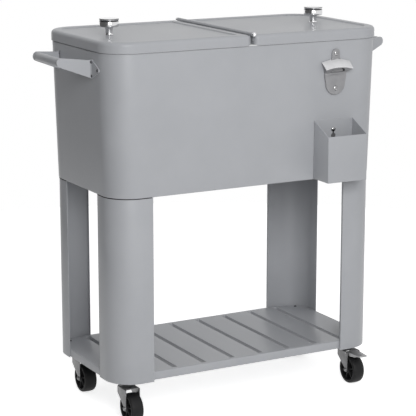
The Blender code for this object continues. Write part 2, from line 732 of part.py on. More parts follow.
def make_leaf(side, label, hinge):
    """A hinge leaf on the lid's end wall, with knuckles curled round the rod."""
    keep = 1 if side < 0 else 2
    near = side * (LID_SEAM - CLEAR)
    far = side * (LID_SEAM - CLEAR - LEAF_SHEET)
    half = LID_DEPTH / 2 - LID_SEAM_CORNER
    low = (min(near, far), -half, -LEAF_HEIGHT)
    high = (max(near, far), half, -BARREL_RADIUS / 2)
    leaf = box("hinge_leaf_" + label, low, high)
    arm_low = (min(near, 0.0), -half, -BARREL_RADIUS / 2 - LEAF_SHEET)
    arm_high = (max(near, 0.0), half, -BARREL_RADIUS / 2)
    curl = box("leaf_curl_" + label, arm_low, arm_high)
    boolean(curl, as_cutter(barrel("leaf_barrel_" + label), hinge), "UNION")
    boolean(curl, barrel_cutter("leaf_notch_" + label, keep, hinge))
    boolean(leaf, as_cutter(curl, hinge), "UNION")
    boolean(leaf, as_cutter(rod_bore("leaf_bore_" + label), hinge))
    return place(leaf, POWDER_COAT, hinge)


def make_hinge_rod(hinge_line):
    """The rod through all knuckles, with a ball end at the front and at the back."""
    end = BARREL_LENGTH / 2 + CLEAR + ROD_BALL_RADIUS * sin(radians(ROD_BALL_SWEEP))
    ball = arc((0.0, end), ROD_BALL_RADIUS, 90, -ROD_BALL_SWEEP, SMALL_STEPS - 2)
    top = [(radius, height) for radius, height in ball]
    top[0] = (0.0, top[0][1])
    neck = [(HINGE_ROD_RADIUS, top[-1][1])]
    lower = [(radius, -height) for radius, height in reversed(top + neck)]
    rod = turned("hinge_rod", top + neck + lower, BARREL_STEPS)
    place(rod, CHROME, hinge_line)
    rod.rotation_euler = (radians(90), 0.0, 0.0)
    return rod


# Screws: a dome head over a shank, pointing out along +Z
def dome(radius, height):
    points = [(radius * cos(radians(angle)), height * sin(radians(angle))) for angle in (90, 45, 0)]
    points[0] = (0.0, height)
    return points


def place_screw(name, base, location, turn, radius, grip):
    """A screw whose head rests on a sheet of thickness grip; its shank fills the hole."""
    profile = dome(radius, SCREW_HEAD_HEIGHT)
    profile += [(SCREW_SHANK_RADIUS, 0.0), (SCREW_SHANK_RADIUS, -grip), (0.0, -grip)]
    screw = place(turned(name, profile, SMALL_STEPS), STEEL, base)
    screw.location = location
    screw.rotation_euler = turn
    return screw


def fused_head(name, item, base, location, turn, sheet):
    """A screw head joined to the sheet that it fastens."""
    profile = dome(SCREW_HEAD_RADIUS, SCREW_HEAD_HEIGHT)
    profile += [(SCREW_HEAD_RADIUS, -sheet / 2), (0.0, -sheet / 2)]
    head = as_cutter(turned(name, profile, SMALL_STEPS), base)
    head.location = location
    head.rotation_euler = turn
    boolean(item, head, "UNION")


# Side handles: two bent brackets and a round grip, drawn for a wall in the YZ plane facing +X
def bracket_outline(end):
    """Plan of one bracket: a foot along the wall and an arm out to the grip; end is -1 at the front."""
    root = HANDLE_SPREAD_WALL / 2
    tip = HANDLE_SPREAD_GRIP / 2
    out = root + FOOT_SCREW_OUT + FOOT_MARGIN
    reach = HANDLE_REACH + ARM_END_RADIUS
    lean = atan2(root - tip, HANDLE_REACH)
    across = ARM_SHEET / cos(lean)
    drift = (root - tip) * ARM_SHEET / HANDLE_REACH
    end_y = root - (root - tip) * reach / HANDLE_REACH
    points = [
        (0.0, root - across), (0.0, out), (ARM_SHEET, out), (ARM_SHEET, root + ARM_SHEET - drift),
        (2 * ARM_SHEET, root - 2 * drift), (reach, end_y), (reach, end_y - across),
    ]
    return [(x, end * y) for x, y in points]


def grip_trim_outline(end):
    """Plan of what lies beyond an arm's inner face, so that the grip stops square against the arm."""
    root = HANDLE_SPREAD_WALL / 2
    tip = HANDLE_SPREAD_GRIP / 2
    lean = atan2(root - tip, HANDLE_REACH)
    face = root - (ARM_SHEET + CLEAR) / cos(lean)
    deep = HANDLE_REACH + 2 * ARM_END_RADIUS
    face_end = face - (root - tip) * deep / HANDLE_REACH
    points = [(0.0, face), (deep, face_end), (deep, HANDLE_SPREAD_WALL), (0.0, HANDLE_SPREAD_WALL)]
    return [(x, end * y) for x, y in points]


def tangent(point, centre, radius, side):
    """Angle in degrees at which a line from a point touches a circle; side is -1 below, 1 above."""
    run = centre[0] - point[0]
    rise = centre[1] - point[1]
    lean = atan2(rise, run) + side * asin(radius / hypot(run, rise))
    return degrees(lean) + side * 90


def arm_outline():
    """Side of a bracket: tall at the wall, and rising to the grip, where it is round."""
    foot = FOOT_SCREW_RISE + FOOT_MARGIN - CLEAR
    root = ARM_ROOT_HEIGHT / 2
    behind = -OVERRUN
    shoulder = 2 * ARM_SHEET
    grip = (HANDLE_REACH, GRIP_RISE)
    start = tangent((shoulder, -root), grip, ARM_END_RADIUS, -1)
    end = tangent((shoulder, root), grip, ARM_END_RADIUS, 1)
    tip = arc(grip, ARM_END_RADIUS, start, end, SMALL_STEPS)
    return ([(behind, -foot), (ARM_SHEET, -foot), (shoulder, -root)] + tip
            + [(shoulder, root), (ARM_SHEET, foot), (behind, foot)])


def foot_outline(end):
    """Front of a bracket's foot: round at its three screws, and full width behind the arm."""
    root = HANDLE_SPREAD_WALL / 2
    inner = HANDLE_SPREAD_GRIP / 2 - 2 * ARM_END_RADIUS
    pair = (root, FOOT_SCREW_RISE)
    lone = (root + FOOT_SCREW_OUT, 0.0)
    points = [(inner, -ARM_TOP), (root, -ARM_TOP)]
    points += arc((pair[0], -pair[1]), FOOT_MARGIN, -90, -45, 3)
    points += arc(lone, FOOT_MARGIN, -45, 45, 4)
    points += arc(pair, FOOT_MARGIN, 45, 90, 3)
    points += [(root, ARM_TOP), (inner, ARM_TOP)]
    return [(end * y, z) for y, z in points]


def screw_spots(end):
    root = HANDLE_SPREAD_WALL / 2
    lone = root + FOOT_SCREW_OUT
    return [(end * root, FOOT_SCREW_RISE), (end * root, -FOOT_SCREW_RISE), (end * lone, 0.0)]


def make_handle(side, label):
    wall = shell_half(HANDLE_HEIGHT, SHELL_LENGTH_BOTTOM, SHELL_LENGTH_TOP) + CLEAR / cos(TAPER_END)
    turn = (0.0, TAPER_END, 0.0) if side > 0 else (0.0, TAPER_END, pi)
    base = empty("handle_base_" + label, (side * wall, 0.0, HANDLE_HEIGHT), turn=turn)
    deep = HANDLE_REACH + 2 * ARM_END_RADIUS
    for end, place_name in ((-1, "front"), (1, "back")):
        tag = label + "_" + (place_name if side > 0 else ("back" if end < 0 else "front"))
        arm = extruded("bracket_" + tag, bracket_outline(end), 4 * ARM_TOP, PLAN_VIEW)
        side_mask = extruded("arm_mask_" + tag, arm_outline(), 2 * HANDLE_SPREAD_WALL, FRONT_VIEW)
        foot_mask = extruded("foot_mask_" + tag, foot_outline(end), 2 * deep, SIDE_VIEW)
        boolean(arm, as_cutter(side_mask, base), "INTERSECT")
        boolean(arm, as_cutter(foot_mask, base), "INTERSECT")
        for index, (y, z) in enumerate(screw_spots(end)):
            fused_head("bracket_screw_%s_%d" % (tag, index), arm, base, (ARM_SHEET + CLEAR, y, z),
                       (0.0, radians(90), 0.0), ARM_SHEET)
        place(arm, POWDER_COAT, base)
    half = HANDLE_SPREAD_WALL / 2
    profile = [(0.0, half), (GRIP_RADIUS, half), (GRIP_RADIUS, -half), (0.0, -half)]
    grip = turned("grip_" + label, profile, ROUND_STEPS)
    for end, tag in ((-1, "front"), (1, "back")):
        trim = extruded("grip_trim_%s_%s" % (label, tag), grip_trim_outline(end), 4 * GRIP_RADIUS,
                        PLAN_VIEW, GRIP_RISE)
        boolean(grip, as_cutter(trim, base))
    place(grip, POWDER_COAT, base)
    grip.location = (HANDLE_REACH, 0.0, GRIP_RISE)
    grip.rotation_euler = (radians(90), 0.0, 0.0)


# Bottle opener, drawn on a wall in the XZ plane facing -Y, heights from its lower edge
def opener_outline():
    low = arc((0.0, OPENER_LOWER_RADIUS), OPENER_LOWER_RADIUS, -180, 0, SMALL_STEPS)
    shoulder = OPENER_HOOD_TOP - OPENER_LIP_FACE
    side_right = [(OPENER_HALF_WIDTH, OPENER_LEDGE_TOP), (OPENER_HALF_WIDTH, shoulder)]
    tab = arc((0.0, OPENER_SCREW_HIGH), OPENER_TAB_RADIUS, 0, 180, SMALL_STEPS)
    side_left = [(-OPENER_HALF_WIDTH, shoulder), (-OPENER_HALF_WIDTH, OPENER_LEDGE_TOP)]
    neck = [(OPENER_TAB_RADIUS, OPENER_HOOD_TOP)]
    neck_left = [(-OPENER_TAB_RADIUS, OPENER_HOOD_TOP)]
    return low + side_right + neck + tab + neck_left + side_left


def make_opener():
    front = shell_half(OPENER_BOTTOM, SHELL_DEPTH_BOTTOM, SHELL_DEPTH_TOP) + CLEAR / cos(TAPER_FRONT)
    base = empty("opener_base", (OPENER_X, -front, OPENER_BOTTOM), turn=(TAPER_FRONT, 0.0, 0.0))
    plate = extruded("bottle_opener", opener_outline(), OPENER_PLATE, FRONT_VIEW, OPENER_PLATE / 2)
    reach = OPENER_HOOD_REACH
    front_top = OPENER_HOOD_TOP - OPENER_HOOD_DROP
    front_low = front_top - OPENER_LIP_FACE
    hood_side = [(-OPENER_PLATE / 2, OPENER_HOOD_TOP), (-OPENER_PLATE / 2, front_low),
                 (-reach, front_low), (-reach, front_top), (-OPENER_PLATE, OPENER_HOOD_TOP)]
    hood = extruded("opener_hood", hood_side, OPENER_HOOD_WIDTH, SIDE_VIEW)
    wall = OPENER_HOOD_WALL
    mouth_side = [(-OPENER_PLATE, OPENER_HOOD_TOP - 2 * wall), (-OPENER_PLATE, front_low - OVERRUN),
                  (wall - reach, front_low - OVERRUN), (wall - reach, front_top - wall / 2)]
    mouth = extruded("opener_mouth", mouth_side, OPENER_HOOD_WIDTH - 2 * wall, SIDE_VIEW)
    boolean(hood, as_cutter(mouth, base))
    half = OPENER_HOOD_WIDTH / 2 - wall
    arch_radius = (half * half + OPENER_ARCH_RISE * OPENER_ARCH_RISE) / (2 * OPENER_ARCH_RISE)
    arch_z = front_low + OPENER_ARCH_RISE - arch_radius
    arch = cylinder("opener_arch", arch_radius, (0.0, -reach - OVERRUN, arch_z),
                    (0.0, -OPENER_PLATE, arch_z), 4 * FINE_STEPS)
    boolean(hood, as_cutter(arch, base))
    boolean(plate, as_cutter(hood, base), "UNION")
    ledge_half = OPENER_LEDGE_WIDTH / 2
    run = OPENER_LEDGE_REACH - OPENER_PLATE
    ledge_radius = (ledge_half * ledge_half + run * run) / (2 * run)
    spread = atan2(ledge_half, ledge_radius - run) * 180 / pi
    ledge_centre = (0.0, ledge_radius - OPENER_LEDGE_REACH)
    rim = arc(ledge_centre, ledge_radius, -90 - spread, -90 + spread, SMALL_STEPS)
    rim += [(ledge_half, -OPENER_PLATE / 2), (-ledge_half, -OPENER_PLATE / 2)]
    ledge = extruded("opener_ledge", rim, OPENER_LEDGE_THICKNESS, PLAN_VIEW,
                     OPENER_LEDGE_TOP - OPENER_LEDGE_THICKNESS / 2)
    boolean(plate, as_cutter(ledge, base), "UNION")
    for label, height in (("low", OPENER_SCREW_LOW), ("high", OPENER_SCREW_HIGH)):
        hole = cylinder("opener_hole_" + label, SCREW_HOLE_RADIUS, (0.0, OVERRUN, height),
                        (0.0, -OPENER_PLATE - OVERRUN, height), SMALL_STEPS)
        boolean(plate, as_cutter(hole, base))
    place(plate, CAST_METAL, base)
    for label, height in (("low", OPENER_SCREW_LOW), ("high", OPENER_SCREW_HIGH)):
        place_screw("opener_screw_" + label, base, (0.0, -OPENER_PLATE - CLEAR, height),
                    (radians(90), 0.0, 0.0), OPENER_HEAD_RADIUS, OPENER_PLATE)


# Cap catcher: an open sheet box hung on one screw by its keyhole
def make_catcher():
    front = shell_half(CATCHER_BOTTOM, SHELL_DEPTH_BOTTOM, SHELL_DEPTH_TOP) + CLEAR / cos(TAPER_FRONT)
    base = empty("catcher_base", (CATCHER_X, -front, CATCHER_BOTTOM), turn=(TAPER_FRONT, 0.0, 0.0))
    sheet = CATCHER_SHEET
    outer = [(0.0, 0.0), (0.0, CATCHER_BACK_HEIGHT), (-CATCHER_TOP_REACH, CATCHER_FRONT_HEIGHT),
             (-CATCHER_BOTTOM_REACH, 0.0)]
    slope = (CATCHER_BACK_HEIGHT - CATCHER_FRONT_HEIGHT) / CATCHER_TOP_REACH
    flare = (CATCHER_TOP_REACH - CATCHER_BOTTOM_REACH) / CATCHER_FRONT_HEIGHT
    lift = CATCHER_SHEET + OVERRUN
    front_x = CATCHER_BOTTOM_REACH - sheet
    inner = [(-sheet, sheet), (-sheet, CATCHER_BACK_HEIGHT + lift - slope * sheet),
             (-front_x - flare * (CATCHER_FRONT_HEIGHT + lift), CATCHER_FRONT_HEIGHT + lift),
             (-front_x - flare * sheet, sheet)]
    catcher = extruded("cap_catcher", outer, CATCHER_WIDTH, SIDE_VIEW)
    hollow = extruded("catcher_hollow", inner, CATCHER_WIDTH - 2 * sheet, SIDE_VIEW)
    boolean(catcher, as_cutter(hollow, base))
    screw_height = CATCHER_BACK_HEIGHT - CATCHER_SCREW_DROP
    half = KEYHOLE_SLOT_WIDTH / 2
    hole_centre = screw_height - KEYHOLE_TRAVEL
    key = ([(half, hole_centre)] + arc((0.0, screw_height), half, 0, 180, SMALL_STEPS)
           + [(-half, hole_centre)])
    slot = extruded("keyhole_slot", key, 2 * (sheet + OVERRUN), FRONT_VIEW)
    round_hole = cylinder("keyhole_round", KEYHOLE_RADIUS, (0.0, OVERRUN, hole_centre),
                          (0.0, -sheet - OVERRUN, hole_centre))
    boolean(slot, as_cutter(round_hole, base), "UNION")
    boolean(catcher, as_cutter(slot, base))
    place(catcher, POWDER_COAT, base)
    place_screw("catcher_screw", base, (0.0, -sheet - CLEAR, screw_height), (radians(90), 0.0, 0.0),
                OPENER_HEAD_RADIUS, sheet)


# Legs: a round-cornered sheet angle, with a lip folded in along its front or back flange
def make_leg(side, end, label):
    """side is -1 for a left leg, end is -1 for a front leg."""
    flange_end = LEG_X - LEG_FLANGE_FRONT
    round_part = arc((LEG_X - LEG_CORNER, LEG_Y - LEG_CORNER), LEG_CORNER, 90, 0, CORNER_STEPS)
    lip_end = [(flange_end, LEG_Y - LEG_LIP), (flange_end, LEG_Y)]
    path = lip_end + round_part + [(LEG_X, LEG_Y - LEG_FLANGE_SIDE)]
    bottom = CASTER_HEIGHT - LEG_DROP
    top = PAN_BOTTOM - CLEAR
    bm = bmesh.new()
    line = [bm.verts.new((side * x, end * y, bottom)) for x, y in path]
    edges = [bm.edges.new(pair) for pair in zip(line, line[1:])]
    grown = bmesh.ops.extrude_edge_only(bm, edges=edges)["geom"]
    raised = [item for item in grown if isinstance(item, bmesh.types.BMVert)]
    bmesh.ops.translate(bm, verts=raised, vec=(0.0, 0.0, top - bottom))
    bmesh.ops.recalc_face_normals(bm, faces=bm.faces)
    widest = max(bm.faces, key=lambda face: abs(face.calc_center_median().y))
    if widest.normal.y * end < 0:
        bmesh.ops.reverse_faces(bm, faces=bm.faces)
    leg = object_from("leg_" + label, bm)
    thicken(leg, LEG_SHEET)
    return place(leg, POWDER_COAT)


# Bottom shelf: a tray turned down at its edge and slots, with a plate under each corner
def make_shelf():
    length = 2 * SHELF_X
    bottom = CASTER_HEIGHT
    shelf = skin("bottom_shelf", [section(length, SHELF_DEPTH, SHELF_CORNER, bottom),
                                  section(length, SHELF_DEPTH, SHELF_CORNER, SHELF_TOP)],
                 closed_ends=(False, True))
    thicken(shelf, SHELF_SHEET)
    reach = SHELF_Y - SLOT_EDGE_MARGIN
    for index in range(SLOT_COUNT):
        middle = (index - (SLOT_COUNT - 1) / 2) * SLOT_PITCH
        half = SLOT_WIDTH / 2
        wall = half + SHELF_SHEET
        collar = box("slot_collar_%d" % index,
                     (middle - wall, -reach - SHELF_SHEET, SHELF_TOP - SLOT_COLLAR),
                     (middle + wall, reach + SHELF_SHEET, SHELF_TOP - SHELF_SHEET / 2))
        slot = box("shelf_slot_%d" % index, (middle - half, -reach, SHELF_TOP - SLOT_COLLAR - OVERRUN),
                   (middle + half, reach, SHELF_TOP + OVERRUN))
        boolean(shelf, as_cutter(collar), "UNION")
        boolean(shelf, as_cutter(slot))
    inset = SHELF_SHEET / 2
    full = skin("caster_plates", [
        section(length - 2 * inset, SHELF_DEPTH - 2 * inset, SHELF_CORNER - inset, bottom),
        section(length - 2 * inset, SHELF_DEPTH - 2 * inset, SHELF_CORNER - inset, bottom + CASTER_PLATE)])
    keep_x = SHELF_X - CASTER_PLATE_LENGTH
    keep_y = SHELF_Y - CASTER_PLATE_DEPTH
    across = box("plate_gap_across", (-keep_x, -SHELF_DEPTH, bottom - OVERRUN),
                 (keep_x, SHELF_DEPTH, bottom + CASTER_PLATE + OVERRUN))
    along = box("plate_gap_along", (-SHELF_X - OVERRUN, -keep_y, bottom - OVERRUN),
                (SHELF_X + OVERRUN, keep_y, bottom + CASTER_PLATE + OVERRUN))
    boolean(full, as_cutter(across))
    boolean(full, as_cutter(along))
    boolean(shelf, as_cutter(full), "UNION")
    for side, end, label in CASTERS:
        spot = (side * CASTER_X, end * CASTER_Y)
        hole = cylinder("stem_hole_" + label, STEM_RADIUS + CLEAR, (*spot, bottom - OVERRUN),
                        (*spot, bottom + CASTER_PLATE + OVERRUN))
        boolean(shelf, as_cutter(hole))
    place(shelf, POWDER_COAT)
    for side, end, label in CASTERS:
        spot = (side * SHELF_SCREW_X, end * SHELF_SCREW_Y)
        hole = cylinder("shelf_screw_hole_" + label, SCREW_HOLE_RADIUS,
                        (*spot, SHELF_TOP - SHELF_SHEET - OVERRUN), (*spot, SHELF_TOP + OVERRUN),
                        SMALL_STEPS)
        boolean(shelf, as_cutter(hole))
        screw = place_screw("shelf_screw_" + label, ROOT, (*spot, SHELF_TOP + CLEAR), (0.0, 0.0, 0.0),
                            SCREW_HEAD_RADIUS, SHELF_SHEET)
        screw.data.materials[0] = DARK_SCREW


CASTERS = ((-1, -1, "front_left"), (1, -1, "front_right"), (-1, 1, "back_left"), (1, 1, "back_right"))


# Casters, drawn about their own swivel axis with the wheel trailing towards -Y
def fork_outline():
    axle = (-CASTER_TRAIL, WHEEL_RADIUS)
    tip = arc(axle, FORK_TIP_RADIUS, 180, 390, SMALL_STEPS)
    return ([(FORK_BACK, FORK_CROWN_HEIGHT), (-FORK_FRONT, FORK_CROWN_HEIGHT)] + tip
            + [(FORK_BACK, FORK_CROWN_HEIGHT - FORK_SHOULDER)])


def make_fork(label, base):
    fork = extruded("fork_" + label, fork_outline(), 2 * FORK_OUTSIDE, SIDE_VIEW)
    channel = box("fork_channel_" + label, (-FORK_INSIDE, -2 * FORK_FRONT, -OVERRUN),
                  (FORK_INSIDE, 2 * FORK_BACK, FORK_CROWN_BOTTOM))
    boolean(fork, as_cutter(channel, base))
    boss = cylinder("fork_race_" + label, RACE_LOWER_RADIUS, (0.0, 0.0, FORK_CROWN_BOTTOM + FORK_CROWN / 2),
                    (0.0, 0.0, FORK_CROWN_HEIGHT + RACE_LOWER_HEIGHT))
    boolean(fork, as_cutter(boss, base), "UNION")
    pin = cylinder("fork_kingpin_hole_" + label, KINGPIN_RADIUS + CLEAR,
                   (0.0, 0.0, FORK_CROWN_BOTTOM - OVERRUN),
                   (0.0, 0.0, FORK_CROWN_HEIGHT + RACE_LOWER_HEIGHT + OVERRUN))
    boolean(fork, as_cutter(pin, base))
    reach = FORK_OUTSIDE + OVERRUN
    axle = cylinder("fork_axle_hole_" + label, AXLE_RADIUS + CLEAR, (-reach, -CASTER_TRAIL, WHEEL_RADIUS),
                    (reach, -CASTER_TRAIL, WHEEL_RADIUS))
    boolean(fork, as_cutter(axle, base))
    return place(fork, STEEL, base)


def make_stem(label, base):
    """The fixed half of the swivel: nut and stem through the corner plate, race cup and kingpin."""
    plate_top = CASTER_HEIGHT + CASTER_PLATE + CLEAR
    cup_top = CASTER_HEIGHT - CLEAR
    head_top = FORK_CROWN_BOTTOM - CLEAR
    profile = [
        (0.0, plate_top + STEM_NUT), (STEM_NUT_RADIUS, plate_top + STEM_NUT), (STEM_NUT_RADIUS, plate_top),
        (STEM_RADIUS, plate_top), (STEM_RADIUS, cup_top), (RACE_RADIUS - RACE_LIP, cup_top),
        (RACE_RADIUS, cup_top - RACE_LIP), (RACE_RADIUS, CUP_LOW), (KINGPIN_RADIUS, CUP_LOW),
        (KINGPIN_RADIUS, head_top), (KINGPIN_HEAD_RADIUS, head_top),
        (KINGPIN_HEAD_RADIUS, head_top - KINGPIN_HEAD), (0.0, head_top - KINGPIN_HEAD),
    ]
    return place(turned("caster_stem_" + label, profile, BARREL_STEPS), STEEL, base)


def wheel_profile():
    half = WHEEL_WIDTH / 2
    rim = WHEEL_RADIUS - WHEEL_TYRE
    edge = 2 * WHEEL_CROWN
    bore = AXLE_RADIUS + CLEAR
    upper = [(WHEEL_HUB_RADIUS, half), (WHEEL_HUB_RADIUS, WHEEL_WEB / 2), (rim, WHEEL_WEB / 2), (rim, half),
             (WHEEL_RADIUS - edge, half), (WHEEL_RADIUS - WHEEL_CROWN / 2, half - edge)]
    lower = [(radius, -height) for radius, height in reversed(upper)]
    return [(bore, half)] + upper + [(WHEEL_RADIUS, 0.0)] + lower + [(bore, -half)]


def make_wheel(label, spin):
    wheel = turned("wheel_" + label, wheel_profile(), WHEEL_STEPS, closed=True)
    rib_height = WHEEL_WIDTH / 2 - WHEEL_RIB_INSET
    inner = WHEEL_HUB_RADIUS - WHEEL_RIB / 2
    outer = WHEEL_RADIUS - WHEEL_TYRE + WHEEL_RIB / 2
    ribs = []
    for index in range(WHEEL_RIB_COUNT):
        rib = box("rib_%s_%d" % (label, index), (inner, -WHEEL_RIB / 2, -rib_height),
                  (outer, WHEEL_RIB / 2, rib_height))
        rib.matrix_basis = Matrix.Rotation(2 * pi * index / WHEEL_RIB_COUNT, 4, "Z")
        ribs.append(rib)
    bpy.context.view_layer.update()
    star = merged("wheel_ribs_" + label, ribs)
    boolean(wheel, as_cutter(star, spin), "UNION")
    star.rotation_euler = (0.0, radians(90), 0.0)
    place(wheel, WHEEL_PLASTIC, spin)
    wheel.rotation_euler = (0.0, radians(90), 0.0)
    return wheel


def make_axle(label, spin):
    face = FORK_OUTSIDE + CLEAR
    profile = [(0.0, face + AXLE_HEAD), (AXLE_HEAD_RADIUS, face + AXLE_HEAD), (AXLE_HEAD_RADIUS, face),
               (AXLE_RADIUS, face)]
    profile += [(radius, -height) for radius, height in reversed(profile)]
    axle = place(turned("axle_" + label, profile, SMALL_STEPS), STEEL, spin)
    axle.rotation_euler = (0.0, radians(90), 0.0)
    return axle


def tread_height(distance):
    """Height of the tread at a distance in front of the swivel axis."""
    return WHEEL_RADIUS + sqrt(WHEEL_RADIUS ** 2 - (distance - CASTER_TRAIL) ** 2)


def make_pedal(label, base):
    """Brake pedal on its pin in the fork, drawn about the pin, with a pad over the tread."""
    pivot = empty("pedal_pivot_" + label, (0.0, -PEDAL_PIVOT_Y, PEDAL_PIVOT_HEIGHT), base)
    tip_y = -PEDAL_LENGTH
    tip_z = PEDAL_TIP_RISE
    pad_near = PEDAL_PAD_OUT - PEDAL_PAD_LENGTH / 2
    pad_far = PEDAL_PAD_OUT + PEDAL_PAD_LENGTH / 2
    pad_z = tread_height(PEDAL_PIVOT_Y + pad_near) + PEDAL_PAD_GAP - PEDAL_PIVOT_HEIGHT
    boss = arc((0.0, 0.0), PEDAL_BOSS_RADIUS, -90, 90, 5)
    outline = boss + [
        (tip_y + PEDAL_SHEET, tip_z + PEDAL_SHEET), (tip_y, tip_z + PEDAL_SHEET / 2), (tip_y, tip_z),
        (-pad_far - PEDAL_FLANGE, tip_z), (-pad_far, pad_z), (-pad_near, pad_z),
    ]
    pedal = extruded("brake_pedal_" + label, outline, PEDAL_ROOT_WIDTH, SIDE_VIEW)
    root = PEDAL_ROOT_WIDTH / 2 + OVERRUN
    plan = [(-PEDAL_TIP_WIDTH / 2, tip_y), (PEDAL_TIP_WIDTH / 2, tip_y), (root, 0.0), (root, -tip_y),
            (-root, -tip_y), (-root, 0.0)]
    mask = extruded("pedal_plan_" + label, plan, PEDAL_LENGTH, PLAN_VIEW)
    boolean(pedal, as_cutter(mask, pivot), "INTERSECT")
    hole = cylinder("pedal_hole_" + label, PEDAL_PIN_RADIUS + CLEAR, (-root, 0.0, 0.0), (root, 0.0, 0.0),
                    SMALL_STEPS)
    boolean(pedal, as_cutter(hole, pivot))
    place(pedal, STEEL, pivot)
    fork = bpy.data.objects["fork_" + label]
    reach = FORK_OUTSIDE + OVERRUN
    pin_hole = cylinder("fork_pedal_hole_" + label, PEDAL_PIN_RADIUS + CLEAR, (-reach, 0.0, 0.0),
                        (reach, 0.0, 0.0), SMALL_STEPS)
    boolean(fork, as_cutter(pin_hole, pivot))
    behind = FORK_CROWN_BOTTOM - PEDAL_PIVOT_HEIGHT - OVERRUN
    notch = box("fork_notch_" + label, (-FORK_INSIDE, -FORK_FRONT, behind),
                (FORK_INSIDE, PEDAL_BOSS_RADIUS + FORK_PLAY, behind + FORK_CROWN + 2 * OVERRUN))
    boolean(fork, as_cutter(notch, pivot))
    face = FORK_OUTSIDE + CLEAR
    head = PEDAL_PIN_RADIUS + PEDAL_SHEET / 2
    profile = [(0.0, face + PEDAL_SHEET / 2), (head, face + PEDAL_SHEET / 2), (head, face),
               (PEDAL_PIN_RADIUS, face)]
    profile += [(radius, -height) for radius, height in reversed(profile)]
    pin = place(turned("pedal_pin_" + label, profile, SMALL_STEPS), STEEL, pivot)
    pin.rotation_euler = (0.0, radians(90), 0.0)


def make_caster(side, end, label):
    base = empty("swivel_" + label, (side * CASTER_X, end * CASTER_Y, 0.0))
    spin = empty("spin_" + label, (0.0, -CASTER_TRAIL, WHEEL_RADIUS), base)
    make_stem(label, base)
    make_fork(label, base)
    make_axle(label, spin)
    make_wheel(label, spin)
    if side > 0:
        make_pedal(label, base)


# Drain through the tub's floor, closed by a ribbed cap under the pan
def make_drain():
    base = empty("drain_axis", (DRAIN_X, 0.0, 0.0))
    top = TUB_FLOOR + CLEAR + DRAIN_FLANGE
    low = PAN_BOTTOM - DRAIN_OUTLET_DROP
    profile = [(DRAIN_BORE_RADIUS, top), (DRAIN_FLANGE_RADIUS, top),
               (DRAIN_FLANGE_RADIUS, top - DRAIN_FLANGE), (DRAIN_TUBE_RADIUS, top - DRAIN_FLANGE),
               (DRAIN_TUBE_RADIUS, low), (DRAIN_BORE_RADIUS, low)]
    place(turned("drain_spout", profile, ROUND_STEPS, closed=True), DRAIN_PLASTIC, base)
    inner = DRAIN_TUBE_RADIUS + CLEAR
    mouth = low + DRAIN_CAP_HEIGHT - DRAIN_CAP_WALL
    floor = low - CLEAR
    cap_profile = [(inner, mouth), (DRAIN_CAP_RADIUS, mouth), (DRAIN_CAP_RADIUS, floor - DRAIN_CAP_WALL),
                   (0.0, floor - DRAIN_CAP_WALL)]
    cap = turned("drain_cap", cap_profile + [(0.0, floor), (inner, floor)], ROUND_STEPS, closed=True)
    place(cap, DRAIN_PLASTIC, base)


def centre_on_floor():
    """Move the whole cooler so that the middle of its footprint is the origin."""
    bpy.context.view_layer.update()
    graph = bpy.context.evaluated_depsgraph_get()
    reach = []
    for item in PARTS.objects:
        if item.type == "MESH":
            seen = item.evaluated_get(graph)
            reach += [(item.matrix_world @ Vector(corner)).y for corner in seen.bound_box]
    ROOT.location = (0.0, -(min(reach) + max(reach)) / 2, 0.0)
    bpy.context.view_layer.update()


def build():
    make_shell()
    make_tub()
    make_foam()
    hinge_line = empty("hinge_line", (0.0, 0.0, HINGE_HEIGHT))
    for side, label in ((-1, "left"), (1, "right")):
        hinge = empty("lid_hinge_" + label, (0.0, 0.0, HINGE_HEIGHT))
        make_lid(side, label, hinge)
        make_knob(side, label, hinge)
        make_leaf(side, label, hinge)
        make_handle(side, label)
    make_centre_bar(hinge_line)
    make_hinge_rod(hinge_line)
    make_opener()
    make_catcher()
    for side, end, label in CASTERS:
        make_leg(side, end, label)
        make_caster(side, end, label)
    make_shelf()
    make_drain()
    centre_on_floor()


build()
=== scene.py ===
# %% [markdown]
# A rolling patio cooler is mostly painted sheet steel: a tapered tub with two lids, four corner legs, a slotted
# shelf and four casters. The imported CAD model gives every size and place, so it is loaded first and kept as a
# fixed frame. Each visible piece is then built anew over it with softer edges and finer curves.

# %% Load the frame and keep its box
import json
import math

import bmesh
import bpy
from mathutils import Matrix, Vector


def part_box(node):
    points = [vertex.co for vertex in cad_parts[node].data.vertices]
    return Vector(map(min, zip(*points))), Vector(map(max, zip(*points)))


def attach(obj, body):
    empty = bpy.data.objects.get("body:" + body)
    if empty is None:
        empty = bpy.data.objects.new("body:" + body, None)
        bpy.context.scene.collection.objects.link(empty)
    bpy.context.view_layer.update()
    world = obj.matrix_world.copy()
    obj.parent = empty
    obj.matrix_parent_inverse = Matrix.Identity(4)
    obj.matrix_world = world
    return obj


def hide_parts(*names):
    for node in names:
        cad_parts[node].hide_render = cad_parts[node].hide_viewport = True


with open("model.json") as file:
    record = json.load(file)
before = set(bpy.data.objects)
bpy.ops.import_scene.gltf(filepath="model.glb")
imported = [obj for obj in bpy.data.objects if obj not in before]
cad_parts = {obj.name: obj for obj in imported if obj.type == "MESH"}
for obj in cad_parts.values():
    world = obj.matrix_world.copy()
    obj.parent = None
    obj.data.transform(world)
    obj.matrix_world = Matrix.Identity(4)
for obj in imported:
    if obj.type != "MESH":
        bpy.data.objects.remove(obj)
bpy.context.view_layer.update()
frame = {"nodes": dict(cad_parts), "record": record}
SHIFT = (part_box("outer_shell")[0].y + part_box("outer_shell")[1].y) / 2

# %% [markdown]
# The photograph is taken from the left of the front and a little above, with a long lens from about four metres
# away. A real camera has a place, a direction and a focal length, so the same three are set here. Its axes are
# worked out from two angles, which is easier to correct than a rotation typed as numbers.

